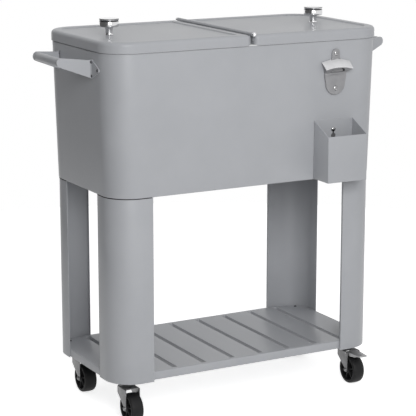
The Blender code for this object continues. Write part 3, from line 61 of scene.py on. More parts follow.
# %% Camera
YAW, PITCH, LENS = math.radians(28.702), math.radians(12.514), 145.4
CAMERA_AT = (-2.0955, -3.7906 + SHIFT, 1.4455)
looking = Vector((math.sin(YAW) * math.cos(PITCH), math.cos(YAW) * math.cos(PITCH), -math.sin(PITCH)))
right = Vector((math.cos(YAW), -math.sin(YAW), 0.0))
up = right.cross(looking)
bpy.ops.object.select_all(action="DESELECT")
bpy.ops.object.camera_add(location=CAMERA_AT)
camera = bpy.context.active_object
camera.rotation_euler = Matrix((right, up, -looking)).transposed().to_euler()
camera.data.lens = LENS
camera.data.sensor_width = 36.0
camera.data.shift_x = 0.0012
bpy.context.scene.camera = camera
bpy.context.scene.view_settings.view_transform = "Standard"
print("camera is", round((camera.location - Vector((0.0, 0.0, 0.5))).length, 2), "m from the cooler")

# %% [markdown]
# Floor, sky and finishes are all built from shader nodes. A node gets its fixed numbers by the names of its
# sockets, so the recipe of each one can be read in a line.

# %% Helpers for shader nodes
WHITE = (1.0, 1.0, 1.0, 1.0)


def filled(node, **values):
    """Give a shader node the values of the sockets that have these names."""
    for label, value in values.items():
        node.inputs[label.replace("_", " ")].default_value = value
    return node


def node_of(tree, kind, **values):
    """A new shader node with its values."""
    return filled(tree.nodes.new("ShaderNode" + kind), **values)


def larger(tree, one, other):
    """The larger of two shader values."""
    made = node_of(tree, "Math")
    made.operation = "MAXIMUM"
    tree.links.new(one, made.inputs[0])
    tree.links.new(other, made.inputs[1])
    return made.outputs[0]


def new_material(name, **values):
    """A material whose Principled shader has these values; returns both."""
    made = bpy.data.materials.new(name)
    made.use_nodes = True
    return made, filled(made.node_tree.nodes["Principled BSDF"], **values)


print("helpers:", [helper.__name__ for helper in (filled, node_of, larger, new_material)])

# %% [markdown]
# The product stands in a white studio. The floor is a pale disc that takes the cooler's shadow. It is lifted to
# white only for rays that come straight from the camera or bounce off something shiny, so the light that falls on
# the cooler stays plain, and the world does the same for the background. The light itself is stronger overhead.

# %% Floor and world
FLOOR_RADIUS, FLOOR_TONE, FLOOR_LIFT = 2.3, 0.80, 0.75
SKY_LOW, SKY_HIGH = 0.39, 0.50
bpy.ops.object.select_all(action="DESELECT")
bpy.ops.mesh.primitive_circle_add(vertices=96, radius=FLOOR_RADIUS, fill_type="NGON")
floor = bpy.context.active_object
floor.name = "studio_floor"
pale, shader = new_material("pale_floor", Base_Color=(FLOOR_TONE, FLOOR_TONE, FLOOR_TONE, 1.0), Roughness=0.9,
                            Emission_Color=WHITE)
tree = pale.node_tree
path = node_of(tree, "LightPath")
seen = larger(tree, path.outputs["Is Camera Ray"], path.outputs["Is Glossy Ray"])
lift = node_of(tree, "Math")
lift.operation = "MULTIPLY"
lift.inputs[1].default_value = FLOOR_LIFT
tree.links.new(seen, lift.inputs[0])
tree.links.new(lift.outputs[0], shader.inputs["Emission Strength"])
floor.data.materials.append(pale)

world = bpy.data.worlds.new("white_studio")
bpy.context.scene.world = world
world.use_nodes = True
tree = world.node_tree
around = filled(tree.nodes["Background"], Color=WHITE)
heading = node_of(tree, "TexCoord")
parts = node_of(tree, "SeparateXYZ")
tree.links.new(heading.outputs["Generated"], parts.inputs["Vector"])
sky = node_of(tree, "MapRange", From_Min=-0.05, From_Max=0.85, To_Min=SKY_LOW, To_Max=SKY_HIGH)
sky.interpolation_type = "SMOOTHSTEP"
tree.links.new(parts.outputs["Z"], sky.inputs["Value"])
tree.links.new(sky.outputs["Result"], around.inputs["Strength"])
white = node_of(tree, "Background", Color=WHITE, Strength=1.0)
path = node_of(tree, "LightPath")
shiny = larger(tree, path.outputs["Is Glossy Ray"], path.outputs["Is Transmission Ray"])
seen = larger(tree, path.outputs["Is Camera Ray"], shiny)
mixed = node_of(tree, "MixShader")
tree.links.new(seen, mixed.inputs["Fac"])
tree.links.new(around.outputs["Background"], mixed.inputs[1])
tree.links.new(white.outputs["Background"], mixed.inputs[2])
tree.links.new(mixed.outputs["Shader"], tree.nodes["World Output"].inputs["Surface"])
print("floor", FLOOR_RADIUS, "m and sky from", SKY_LOW, "to", SKY_HIGH)

# %% [markdown]
# The photograph's left sides are much darker than its front. Photographers do that with a dark card beside the
# product, which also gives chrome its dark stripes, so one stands here too, hidden from the camera.

# %% Dark card
CARD_X, CARD_TONE = -1.45, 0.22
CARD_HIGH, CARD_LONG, CARD_BACK = 2.3, 4.4, 0.8
bpy.ops.object.select_all(action="DESELECT")
bpy.ops.mesh.primitive_plane_add(size=1.0, location=(CARD_X, CARD_BACK, CARD_HIGH / 2),
                                 rotation=(0.0, math.radians(90), 0.0))
card = bpy.context.active_object
card.name = "studio_black_card"
card.scale = (CARD_HIGH, CARD_LONG, 1.0)
bpy.ops.object.transform_apply(location=True, rotation=True, scale=True)
card.visible_camera = False
card.visible_shadow = False
card.data.materials.append(new_material("black_card", Base_Color=(CARD_TONE, CARD_TONE, CARD_TONE, 1.0),
                                        Roughness=0.9)[0])
print("card", [round(v, 2) for v in card.dimensions])

# %% [markdown]
# One large softbox lights the front from the left and above. Its size keeps the highlights on the rounded corners
# broad, as in the photograph, and its power was matched to the tones there.

# %% Key softbox
KEY_AT, KEY_TARGET = Vector((-1.2, -3.6, 2.2)), Vector((0.0, 0.0, 0.6))
KEY_SIZE, KEY_POWER = 1.6, 88.0
bpy.ops.object.select_all(action="DESELECT")
bpy.ops.object.light_add(type="AREA", location=KEY_AT)
key = bpy.context.active_object
key.name = "key_softbox"
key.data.shape = "RECTANGLE"
key.data.size = key.data.size_y = KEY_SIZE
key.data.energy = KEY_POWER
key.rotation_euler = (KEY_TARGET - KEY_AT).to_track_quat("-Z", "Y").to_euler()
print("key softbox", round(key.location.length, 2), "m away")

# %% [markdown]
# Powder coat is paint baked from dust, so its surface has a fine orange-peel skin rather than a flat gloss. Two
# sizes of noise make it: a fine one for the skin and a broad faint one that keeps large walls from looking like
# one flat colour. Every finish uses both, so they are one shader group with named sockets.

# %% Shared shader group
skin_group = bpy.data.node_groups.new("skin_texture", "ShaderNodeTree")
for label, value in (("Grain Scale", 700.0), ("Cloud Scale", 9.0)):
    socket = skin_group.interface.new_socket(label, in_out="INPUT", socket_type="NodeSocketFloat")
    socket.default_value = value
for label in ("Height", "Cloud"):
    skin_group.interface.new_socket(label, in_out="OUTPUT", socket_type="NodeSocketFloat")
ends_in, ends_out = skin_group.nodes.new("NodeGroupInput"), skin_group.nodes.new("NodeGroupOutput")
for scale, detail, result in (("Grain Scale", 2.0, "Height"), ("Cloud Scale", 4.0, "Cloud")):
    place = node_of(skin_group, "TexCoord")
    noise = node_of(skin_group, "TexNoise", Detail=detail)
    skin_group.links.new(ends_in.outputs[scale], noise.inputs["Scale"])
    skin_group.links.new(place.outputs["Object"], noise.inputs["Vector"])
    skin_group.links.new(noise.outputs["Fac"], ends_out.inputs[result])
print("groups:", [g.name for g in bpy.data.node_groups])

# %% [markdown]
# Every finish starts from the Principled shader. Its colour drifts a little between a darker and a lighter
# tone, its roughness follows the same cloud, and a Bump node turns the grain into tiny hills. The numbers that
# are the same all over stay on the shader itself.

# %% A helper for finishes
GRAIN_DEPTH = 0.0002


def finish_of(name, dark, light, rough, metallic=0.0, grain_scale=700.0, cloud_scale=9.0, bump=0.1, shine=0.5):
    """A finish that drifts from dark to light, with roughness between the two values of rough."""
    made, shader = new_material(name, Metallic=metallic, Specular_IOR_Level=shine)
    tree = made.node_tree
    skin = tree.nodes.new("ShaderNodeGroup")
    skin.node_tree = skin_group
    filled(skin, Grain_Scale=grain_scale, Cloud_Scale=cloud_scale)
    tone = node_of(tree, "MapRange", From_Min=0.35, From_Max=0.65)
    tree.links.new(skin.outputs["Cloud"], tone.inputs["Value"])
    colour = node_of(tree, "Mix")
    colour.data_type = "RGBA"
    filled(colour, A=(*dark, 1.0), B=(*light, 1.0))
    tree.links.new(tone.outputs["Result"], colour.inputs["Factor"])
    tree.links.new(colour.outputs["Result"], shader.inputs["Base Color"])
    sheen = node_of(tree, "MapRange", From_Min=0.3, From_Max=0.7, To_Min=rough[0], To_Max=rough[1])
    tree.links.new(skin.outputs["Cloud"], sheen.inputs["Value"])
    tree.links.new(sheen.outputs["Result"], shader.inputs["Roughness"])
    hills = node_of(tree, "Bump", Strength=bump, Distance=GRAIN_DEPTH)
    tree.links.new(skin.outputs["Height"], hills.inputs["Height"])
    tree.links.new(hills.outputs["Normal"], shader.inputs["Normal"])
    return made


print("the skin is", GRAIN_DEPTH * 1000, "mm deep")

# %% [markdown]
# The cooler needs one grey for all its painted sheet, a pale plastic, black rubber and several metals. Metal looks
# dark or bright by what it reflects, so the knobs, screws, casters and opener each have the tones that the
# photograph shows there.

# %% Finishes
POWDER_COAT = finish_of("grey_powder_coat", (0.405, 0.415, 0.437), (0.425, 0.435, 0.457), (0.33, 0.40),
                        grain_scale=900.0, bump=0.16, shine=0.30)
TUB_PLASTIC = finish_of("pale_tub_plastic", (0.66, 0.67, 0.67), (0.70, 0.71, 0.71), (0.38, 0.48), bump=0.12)
FOAM = finish_of("foam_block", (0.70, 0.64, 0.42), (0.80, 0.74, 0.52), (0.9, 0.95), grain_scale=400.0, bump=0.8)
# Near-black for the thin bead at the tub's lower edge: a painted shadow line.
SHADOW_LINE_BLACK = finish_of("painted_shadow_line", (0.035, 0.035, 0.038), (0.05, 0.05, 0.053), (0.6, 0.75), bump=0.2, shine=0.2)
RUBBER = finish_of("gasket_rubber", (0.07, 0.07, 0.075), (0.10, 0.10, 0.105), (0.6, 0.75), bump=0.2)
CHROME = finish_of("polished_chrome", (0.66, 0.67, 0.68), (0.72, 0.72, 0.73), (0.06, 0.10), metallic=1.0, bump=0.02)
# Darker chrome for the knobs' rim and groove: a painted dark reflection.
CHROME_PAINTED_DARK_REFLECTION = finish_of("chrome_painted_dark_reflection", (0.06, 0.06, 0.063), (0.09, 0.09, 0.093), (0.10, 0.16), metallic=1.0,
                        bump=0.02)
ZINC = finish_of("zinc_plate", (0.15, 0.15, 0.152), (0.22, 0.22, 0.223), (0.30, 0.42), metallic=0.8,
                 cloud_scale=60.0, bump=0.15)
# A lighter copy of the zinc plate for the caster stem, pedal and pin: painted highlight.
ZINC_PAINTED_HIGHLIGHT = finish_of("bright_zinc_plate", (0.30, 0.30, 0.303), (0.42, 0.42, 0.424), (0.30, 0.42),
                        metallic=0.75, cloud_scale=60.0, bump=0.15)
ROD_STEEL = finish_of("satin_rod_steel", (0.80, 0.80, 0.81), (0.86, 0.86, 0.87), (0.22, 0.30), metallic=1.0,
                      bump=0.05)
CHROME_SCREW = finish_of("plated_screw", (0.30, 0.30, 0.305), (0.37, 0.37, 0.375), (0.12, 0.18), metallic=1.0,
                         cloud_scale=80.0, bump=0.05)
# The opener plate's own grey, also put on the hood's sides and underside as painted shade.
CAST_PLATE_AND_HOOD_PAINTED_SHADE = finish_of("cast_opener_plate_and_hood_painted_shade", (0.27, 0.27, 0.28), (0.31, 0.31, 0.32), (0.42, 0.50), metallic=0.3,
                 grain_scale=500.0, cloud_scale=50.0, bump=0.3)
# Near-black painted shadow for the inside of the opener's mouth.
MOUTH_PAINTED_SHADOW = finish_of("opener_mouth_painted_shadow", (0.020, 0.020, 0.021), (0.035, 0.035, 0.036), (0.7, 0.8), metallic=0.2,
                     grain_scale=500.0, cloud_scale=50.0, bump=0.4, shine=0.2)
# A lighter metal on the opener hood's top as painted light.
HOOD_PAINTED_LIGHT = finish_of("opener_hood_painted_light", (0.66, 0.66, 0.67), (0.72, 0.72, 0.73), (0.40, 0.48),
                        metallic=0.35, grain_scale=500.0, cloud_scale=50.0, bump=0.3)
DARK_SCREW = finish_of("dark_screw", (0.06, 0.06, 0.065), (0.10, 0.10, 0.11), (0.35, 0.5), metallic=0.6)
WHEEL_BLACK = finish_of("wheel_black", (0.006, 0.006, 0.0065), (0.011, 0.011, 0.0115), (0.50, 0.62),
                        grain_scale=500.0, cloud_scale=40.0, bump=0.3, shine=0.22)
DRAIN_BLACK = finish_of("drain_black", (0.04, 0.04, 0.042), (0.055, 0.055, 0.06), (0.4, 0.55), bump=0.2)
print("materials so far:", len(bpy.data.materials))

# %% [markdown]
# Until a piece is remodelled, its solid is what shows, so each solid gets the finish of its own slot. The foam
# blocks inside stay like that for good.

# %% Finishes on the solids
SLOT_FINISH = {"powder_coat": POWDER_COAT, "tub_plastic": TUB_PLASTIC, "foam": FOAM, "gasket_rubber": RUBBER,
               "chrome": CHROME, "bright_steel": ZINC, "cast_opener": CAST_PLATE_AND_HOOD_PAINTED_SHADE, "dark_screw": DARK_SCREW,
               "wheel_plastic": WHEEL_BLACK, "drain_plastic": DRAIN_BLACK}
for entry in frame["record"]["subparts"]:
    node = frame["nodes"][entry["node"]]
    node.data.materials.clear()
    node.data.materials.append(SLOT_FINISH[entry["material_slot"]])
print(len(frame["nodes"]), "CAD nodes wear", len(SLOT_FINISH), "finishes")

# %% [markdown]
# The pieces are modelled as by hand: a primitive at its size and place, then bevels, insets and extrusions in
# edit mode. An operator works on everything that is selected, so each helper first clears the selection and
# then picks faces or edges by where they are.

# %% Helpers for edit mode


def activate(piece):
    bpy.ops.object.select_all(action="DESELECT")
    piece.select_set(True)
    bpy.context.view_layer.objects.active = piece


def block(name, low, high):
    """A cube from one corner to the other, with its place in its mesh."""
    low, high = Vector(low), Vector(high)
    bpy.ops.object.select_all(action="DESELECT")
    bpy.ops.mesh.primitive_cube_add(size=1.0, location=(low + high) / 2)
    piece = bpy.context.active_object
    piece.name = name
    piece.scale = high - low
    bpy.ops.object.transform_apply(location=True, rotation=True, scale=True)
    return piece


def pick(piece, kind, test):
    """Go into edit mode and select only the faces or edges that pass the test."""
    if piece.mode != "EDIT":
        activate(piece)
        bpy.ops.object.mode_set(mode="EDIT")
    bpy.ops.mesh.select_mode(type={"faces": "FACE", "edges": "EDGE"}[kind])
    bpy.ops.mesh.select_all(action="DESELECT")
    cage = bmesh.from_edit_mesh(piece.data)
    for item in getattr(cage, kind):
        if test(item):
            item.select_set(True)
    cage.select_flush_mode()
    bmesh.update_edit_mesh(piece.data)


def leave():
    bpy.ops.object.mode_set(mode="OBJECT")


def middle(item):
    """The middle of a face or an edge."""
    points = [corner.co for corner in item.verts]
    return sum(points, Vector()) / len(points)


def upright(edge):
    """Whether an edge stands up."""
    along = (edge.verts[1].co - edge.verts[0].co).normalized()
    return abs(along.z) > 0.9


def facing_up(face):
    return face.normal.z > 0.9


def facing_down(face):
    return face.normal.z < -0.9


def rounded(piece, test, width, steps):
    """Bevel the edges that pass the test."""
    pick(piece, "edges", test)
    bpy.ops.mesh.bevel(offset=width, segments=steps, affect="EDGES")
    leave()


def opened(piece, test):
    """Take away the faces that pass the test."""
    pick(piece, "faces", test)
    bpy.ops.mesh.delete(type="FACE")
    leave()


def outwards(piece, measure):
    """Turn all faces of a bare sheet round if their measures add up to less than nothing."""
    pick(piece, "faces", lambda face: True)
    if sum(measure(face) for face in bmesh.from_edit_mesh(piece.data).faces) < 0:
        bpy.ops.mesh.flip_normals()
    leave()


print("helpers:", [helper.__name__ for helper in (block, pick, rounded, opened, outwards)])

# %% [markdown]
# Modifiers do what is laborious by hand: Solidify gives a sheet its thickness, Boolean cuts a hole and Bevel rounds
# the edges. Each is applied at once, so that the next step works on the finished mesh. A finished piece is then
# shaded, gets its finish and rides on the body that it moves with.

# %% Helpers for modifiers and finished pieces


def discard(*pieces):
    for piece in pieces:
        bpy.data.objects.remove(piece, do_unlink=True)


def modify(piece, kind, **values):
    """Add a modifier with these values and apply it."""
    activate(piece)
    step = piece.modifiers.new(kind.lower(), kind)
    for label, value in values.items():
        setattr(step, label, value)
    bpy.ops.object.modifier_apply(modifier=step.name)


def thicken(piece, thickness, side=-1.0):
    """Give a sheet its thickness, towards the inside unless side is 1."""
    modify(piece, "SOLIDIFY", thickness=thickness, offset=side, use_even_offset=True)


def cut(piece, cutter, operation="DIFFERENCE"):
    """Cut one piece with another, which is then deleted."""
    modify(piece, "BOOLEAN", object=cutter, operation=operation, solver="EXACT")
    discard(cutter)


def soften(piece, width, segments=2, angle=30.0):
    """Round the sharp edges of a finished form a little, as paint and tooling leave them."""
    modify(piece, "BEVEL", width=width, segments=segments, limit_method="ANGLE", angle_limit=math.radians(angle))


def dress(piece, finish, slot, body, *stands_for, angle=35.0):
    """Shade a piece, give it its finish and let it ride on a body in place of its CAD nodes."""
    activate(piece)
    bpy.ops.object.shade_smooth_by_angle(angle=math.radians(angle))
    piece.data.materials.clear()
    piece.data.materials.append(finish)
    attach(piece, body)
    if stands_for:
        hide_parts(*stands_for)
    return piece


print("helpers:", [helper.__name__ for helper in (modify, thicken, cut, soften, dress)])

# %% [markdown]
# Round pieces such as knobs, rods and wheels come off a lathe, which spins a profile. In Blender a ring of
# vertices that is extruded and scaled again and again gives the same form, and every step stays easy to change.
# A profile is a list of radii and heights, and its curves are worked out as arcs.

# %% Helpers for turned pieces


def arc(centre, radius, start, end, steps):
    """Points along part of a circle, with the angles in degrees."""
    angles = [math.radians(start + (end - start) * step / steps) for step in range(steps + 1)]
    return [(centre[0] + radius * math.cos(angle), centre[1] + radius * math.sin(angle)) for angle in angles]


def raised(level, *points):
    """Profile points whose heights are counted from one level."""
    return [(radius, level + rise) for radius, rise in points]


def below(profile):
    """The lower half of a profile that is the same at both ends."""
    return [(radius, -height) for radius, height in reversed(profile)]


def turned(name, profile, vertices=48, closed=False):
    """Extrude a ring through a list of (radius, height), along Z from the origin."""
    bpy.ops.object.select_all(action="DESELECT")
    radius, height = profile[0]
    bpy.ops.mesh.primitive_circle_add(vertices=vertices, radius=radius, location=(0.0, 0.0, height),
                                      fill_type="NOTHING" if closed else "NGON")
    piece = bpy.context.active_object
    piece.name = name
    bpy.ops.object.transform_apply(location=True, rotation=True, scale=True)
    bpy.ops.object.mode_set(mode="EDIT")
    bpy.ops.mesh.select_mode(type="EDGE")
    bpy.ops.mesh.select_all(action="SELECT")
    for (r0, z0), (r1, z1) in zip(profile, profile[1:] + (profile[:1] if closed else [])):
        bpy.ops.mesh.extrude_edges_move(TRANSFORM_OT_translate={"value": (0.0, 0.0, z1 - z0)})
        bpy.ops.transform.resize(value=(r1 / r0, r1 / r0, 1.0))
    if not closed:
        bpy.ops.mesh.edge_face_add()
    bpy.ops.mesh.select_all(action="SELECT")
    bpy.ops.mesh.remove_doubles(threshold=0.00002)
    bpy.ops.mesh.normals_make_consistent(inside=False)
    leave()
    return piece


def settle(piece, place=(0.0, 0.0, 0.0), turn=(0.0, 0.0, 0.0)):
    """Put a piece that was made at the origin where it belongs, with its place in its mesh."""
    activate(piece)
    piece.location = place
    piece.rotation_euler = turn
    bpy.ops.object.transform_apply(location=True, rotation=True, scale=True)
    return piece


def joined(first, *others):
    """Join objects into the first one."""
    activate(first)
    for other in others:
        other.select_set(True)
    bpy.ops.object.join()
    return first


print("a quarter turn in two steps:", [tuple(round(v, 2) for v in point) for point in arc((0, 0), 1, 0, 90, 2)])

# %% [markdown]
# The tub's outside is one sheet of steel bent round four large corners and a little wider at the top. A box
# with its upright edges bevelled gives the plan, and scaling the top face gives the taper. The lower edge is
# rolled in. The sheet gets its thickness from Solidify, towards the inside, so the outer size stays what it was.

# %% Outer shell
SHEET, SHELL_CORNER, TOP_FLANGE, HEM = 0.0012, 0.073, 0.013, 0.0026
TAPER_X, TAPER_Y = 0.0095, 0.004
PAN_GAP, PAN_Z, DRAIN_X, DRAIN_HOLE = 0.0005, 0.012, -0.25, 0.0098
low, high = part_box("outer_shell")
LOW_X, LOW_Y = high.x - TAPER_X, high.y - SHIFT - TAPER_Y
shell = block("shell_skin", (-LOW_X, SHIFT - LOW_Y, low.z), (LOW_X, SHIFT + LOW_Y, high.z))
rounded(shell, upright, SHELL_CORNER, 16)
pick(shell, "faces", facing_up)
bpy.ops.transform.resize(value=(high.x / LOW_X, (high.y - SHIFT) / LOW_Y, 1.0), center_override=(0.0, SHIFT, high.z))
bpy.ops.mesh.inset(thickness=TOP_FLANGE)
bpy.ops.mesh.delete(type="FACE")
pick(shell, "faces", facing_down)
bpy.ops.mesh.inset(thickness=HEM)
bpy.ops.mesh.delete(type="FACE")


def fold(edge):
    """Whether an edge lies between a wall and a flange."""
    return (not edge.is_boundary and not upright(edge)
            and len({round(face.normal.z) for face in edge.link_faces}) == 2)


rounded(shell, lambda edge: fold(edge) and middle(edge).z < low.z + 0.001, 0.0025, 4)
rounded(shell, lambda edge: fold(edge) and middle(edge).z > high.z - 0.001
        and max(abs(middle(edge).x) / high.x, abs(middle(edge).y - SHIFT) / 0.2) > 0.9, 0.0015, 3)
thicken(shell, SHEET)
pan = block("pan", (-LOW_X + PAN_GAP, SHIFT - LOW_Y + PAN_GAP, low.z + PAN_Z),
            (LOW_X - PAN_GAP, SHIFT + LOW_Y - PAN_GAP, low.z + PAN_Z + SHEET))
rounded(pan, upright, SHELL_CORNER - PAN_GAP, 16)
cut(pan, settle(turned("pan_hole", [(DRAIN_HOLE, -0.01), (DRAIN_HOLE, 0.01)], 32),
                (DRAIN_X, SHIFT, low.z + PAN_Z + SHEET / 2)))
joined(shell, pan)
dress(shell, POWDER_COAT, "powder_coat", "chassis", "outer_shell")
print("shell has", len(shell.data.polygons), "faces")

# %% [markdown]
# Each lid is pressed from one sheet: the edge rolls over in a soft curve, a flat rim runs round it, and the
# middle is pressed a few millimetres down. The corners at the ends are as round as the tub's, the two at the
# seam much tighter, so the upright edges are bevelled in two goes before the top edge is rolled.

# %% Lid covers
LID_CORNER, SEAM_CORNER, LID_ROLL = 0.075, 0.0108, 0.010
LID_RIM, PRESS_DEEP, PRESS_WIDER = 0.027, 0.0031, 0.007
NOTCH_HALF = 0.1993
RIM_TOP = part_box("inner_tub")[1].z


def lid_corners(piece, end, end_steps, seam, seam_steps):
    """Round a lid shape's upright edges, widely at its end and tightly at the seam."""
    rounded(piece, lambda edge: upright(edge) and abs(middle(edge).x) > 0.3, end, end_steps)
    rounded(piece, lambda edge: upright(edge) and abs(middle(edge).x) < 0.1, seam, seam_steps)


for label in ("left", "right"):
    low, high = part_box("lid_" + label)
    side = -1.0 if low.x < -0.1 else 1.0
    seam, end = sorted((low.x, high.x), key=abs)
    cover = block("lid_cover_" + label, low, high)
    lid_corners(cover, LID_CORNER, 16, SEAM_CORNER, 8)
    rounded(cover, lambda edge: not upright(edge) and middle(edge).z > high.z - 0.0001, LID_ROLL, 7)
    opened(cover, facing_down)
    near, far = sorted((seam + side * LID_RIM, end - side * LID_RIM))
    press = block("press", (near, low.y + LID_RIM, high.z - PRESS_DEEP), (far, high.y - LID_RIM, high.z + 0.003))
    lid_corners(press, 0.046, 14, 0.006, 6)
    pick(press, "faces", facing_up)
    grown = (1.0 + PRESS_WIDER / (far - near), 1.0 + PRESS_WIDER / (high.y - low.y - 2 * LID_RIM), 1.0)
    bpy.ops.transform.resize(value=grown, center_override=((near + far) / 2, SHIFT, high.z))
    leave()
    cut(cover, press)
    soften(cover, 0.0009, 3, 25.0)
    thicken(cover, SHEET)
    ends = sorted((seam - side * 0.002, seam + side * 0.012))
    cut(cover, block("seam_notch", (ends[0], SHIFT - NOTCH_HALF, low.z - 0.002),
                     (ends[1], SHIFT + NOTCH_HALF, RIM_TOP + 0.0003)))
    dress(cover, POWDER_COAT, "powder_coat", label + "_lid", "lid_" + label, angle=25.0)
    modify(cover, "WEIGHTED_NORMAL", keep_sharp=True)
    print(label, "lid cover has", len(cover.data.polygons), "faces")

# %% [markdown]
# Many pieces come in twos and fours: legs, brackets, casters. One of each is modelled with care and its twins are
# copies, mirrored across the middle and then moved, so all of them stay alike. Flat outlines are drawn as a ring
# of points and pulled up, and bent sheet starts as a strip that stands on a path.

# %% Helpers for copies, outlines and bent sheet
FRONT = (math.radians(90), 0.0, 0.0)
SIDE = (math.radians(90), 0.0, math.radians(90))
ALONG_X = (0.0, math.radians(90), 0.0)


def mended(piece):
    """Weld double points and turn all faces outwards."""
    activate(piece)
    bpy.ops.object.mode_set(mode="EDIT")
    bpy.ops.mesh.select_all(action="SELECT")
    bpy.ops.mesh.remove_doubles(threshold=0.00001)
    bpy.ops.mesh.normals_make_consistent(inside=False)
    leave()
    return piece


def twin(piece, name, mirror=(1.0, 1.0, 1.0), move=(0.0, 0.0, 0.0), turn=(0.0, 0.0, 0.0)):
    """A copy of a piece, mirrored about the origin, turned and moved."""
    activate(piece)
    bpy.ops.object.duplicate()
    copy = bpy.context.active_object
    copy.name = name
    copy.scale = mirror
    return mended(settle(copy, move, turn))


def ring(name, points, height, fill="NOTHING"):
    """A closed outline through (x, y) points at one height."""
    bpy.ops.object.select_all(action="DESELECT")
    bpy.ops.mesh.primitive_circle_add(vertices=len(points), radius=1.0, fill_type=fill)
    piece = bpy.context.active_object
    piece.name = name
    for corner, (x, y) in zip(piece.data.vertices, points):
        corner.co = (x, y, height)
    return piece


def plate(name, points, low, high, turn=(0.0, 0.0, 0.0)):
    """A flat outline in X and Y, pulled up from one height to another and then turned."""
    piece = ring(name, points, low, "NGON")
    bpy.ops.object.mode_set(mode="EDIT")
    bpy.ops.mesh.select_all(action="SELECT")
    bpy.ops.mesh.extrude_region_move(TRANSFORM_OT_translate={"value": (0.0, 0.0, high - low)})
    leave()
    return mended(settle(piece, turn=turn))


def strip(name, path, low, high):
    """A sheet without thickness that stands on a path of (x, y) points."""
    piece = ring(name, path, low)
    closing = len(path) - 1
    pick(piece, "edges", lambda edge: {v.index for v in edge.verts} == {0, closing})
    bpy.ops.mesh.delete(type="EDGE")
    bpy.ops.mesh.select_all(action="SELECT")
    bpy.ops.mesh.extrude_edges_move(TRANSFORM_OT_translate={"value": (0.0, 0.0, high - low)})
    leave()
    return piece


def over(node):
    """The point of the floor under the middle of a CAD node."""
    low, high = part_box(node)
    return Vector(((low.x + high.x) / 2, (low.y + high.y) / 2, 0.0))


print("the drain is over", tuple(round(v, 3) for v in over("drain_spout")))

# %% [markdown]
# A leg is a wide sheet angle that wraps the corner of the shelf in one large bend. Its front edge is folded in
# once more to a narrow lip, which stiffens it and hides the cut edge.

# %% Legs
CORNERS = {"front_left": (-1.0, -1.0), "front_right": (1.0, -1.0), "back_left": (-1.0, 1.0),
           "back_right": (1.0, 1.0)}
LEG_X, LEG_Y = LOW_X - 0.0015, LOW_Y - 0.0015
LEG_WIDE, LEG_DEEP, LEG_LIP, LEG_BEND, LEG_SHEET = 0.1045, 0.102, 0.00745, 0.0715, 0.0015


def at_bend(edge):
    return upright(edge) and middle(edge).x > LEG_X - 0.001 and middle(edge).y > LEG_Y - 0.001


def from_middle(face):
    """How far a face looks away from the middle of the cooler."""
    return face.normal.x * middle(face).x


low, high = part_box("leg_front_left")
leg = strip("leg_pattern", [(LEG_X - LEG_WIDE, LEG_Y - LEG_LIP), (LEG_X - LEG_WIDE, LEG_Y), (LEG_X, LEG_Y),
                            (LEG_X, LEG_Y - LEG_DEEP)], low.z, high.z)
rounded(leg, at_bend, LEG_BEND, 20)
rounded(leg, lambda edge: upright(edge) and middle(edge).x < LEG_X - 0.1 and middle(edge).y > LEG_Y - 0.001,
        0.0018, 4)
outwards(mended(leg), from_middle)
thicken(leg, LEG_SHEET)
soften(leg, 0.0004)
for label, (side, end) in CORNERS.items():
    one = twin(leg, "corner_leg_" + label, (side, end, 1.0), (0.0, SHIFT, 0.0))
    dress(one, POWDER_COAT, "powder_coat", "chassis", "leg_" + label)
    print(one.name, [round(v, 4) for v in one.dimensions])
discard(leg)

# %% [markdown]
# Where a leg goes up behind the tub's lower edge, a thin near-black bead is laid along the joint as a painted
# shadow line. It follows the leg's bend, so it is the same strip, only lower, thinner and half a millimetre further
# out.

# %% Painted shadow beads at the tub's lower edge
BEAD_OUT, BEAD_LONG, BEAD_DROP, BEAD_SHEET = 0.0006, 0.1000, 0.0018, 0.0005
edge_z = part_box("outer_shell")[0].z
shadow_bead = strip("shadow_bead_pattern", [(LEG_X - BEAD_LONG, LEG_Y + BEAD_OUT), (LEG_X + BEAD_OUT, LEG_Y + BEAD_OUT),
                              (LEG_X + BEAD_OUT, LEG_Y - BEAD_LONG)], edge_z - BEAD_DROP, edge_z + 0.0002)
rounded(shadow_bead, at_bend, LEG_BEND + BEAD_OUT, 20)
outwards(mended(shadow_bead), from_middle)
thicken(shadow_bead, BEAD_SHEET)
# Each copy is a painted shadow line along the joint of shell and leg.
for label, (side, end) in CORNERS.items():
    dress(twin(shadow_bead, "painted_shadow_bead_" + label, (side, end, 1.0), (0.0, SHIFT, 0.0)),
          SHADOW_LINE_BLACK, "gasket_rubber", "chassis")
discard(shadow_bead)
print("beads at", round(edge_z, 4))

# %% [markdown]
# The shelf is a tray turned down all round. Its eight slots are turned down too, so from the photograph's low
# angle they read as dark bands and not as bright gaps. A plate sits under each corner to carry a caster.

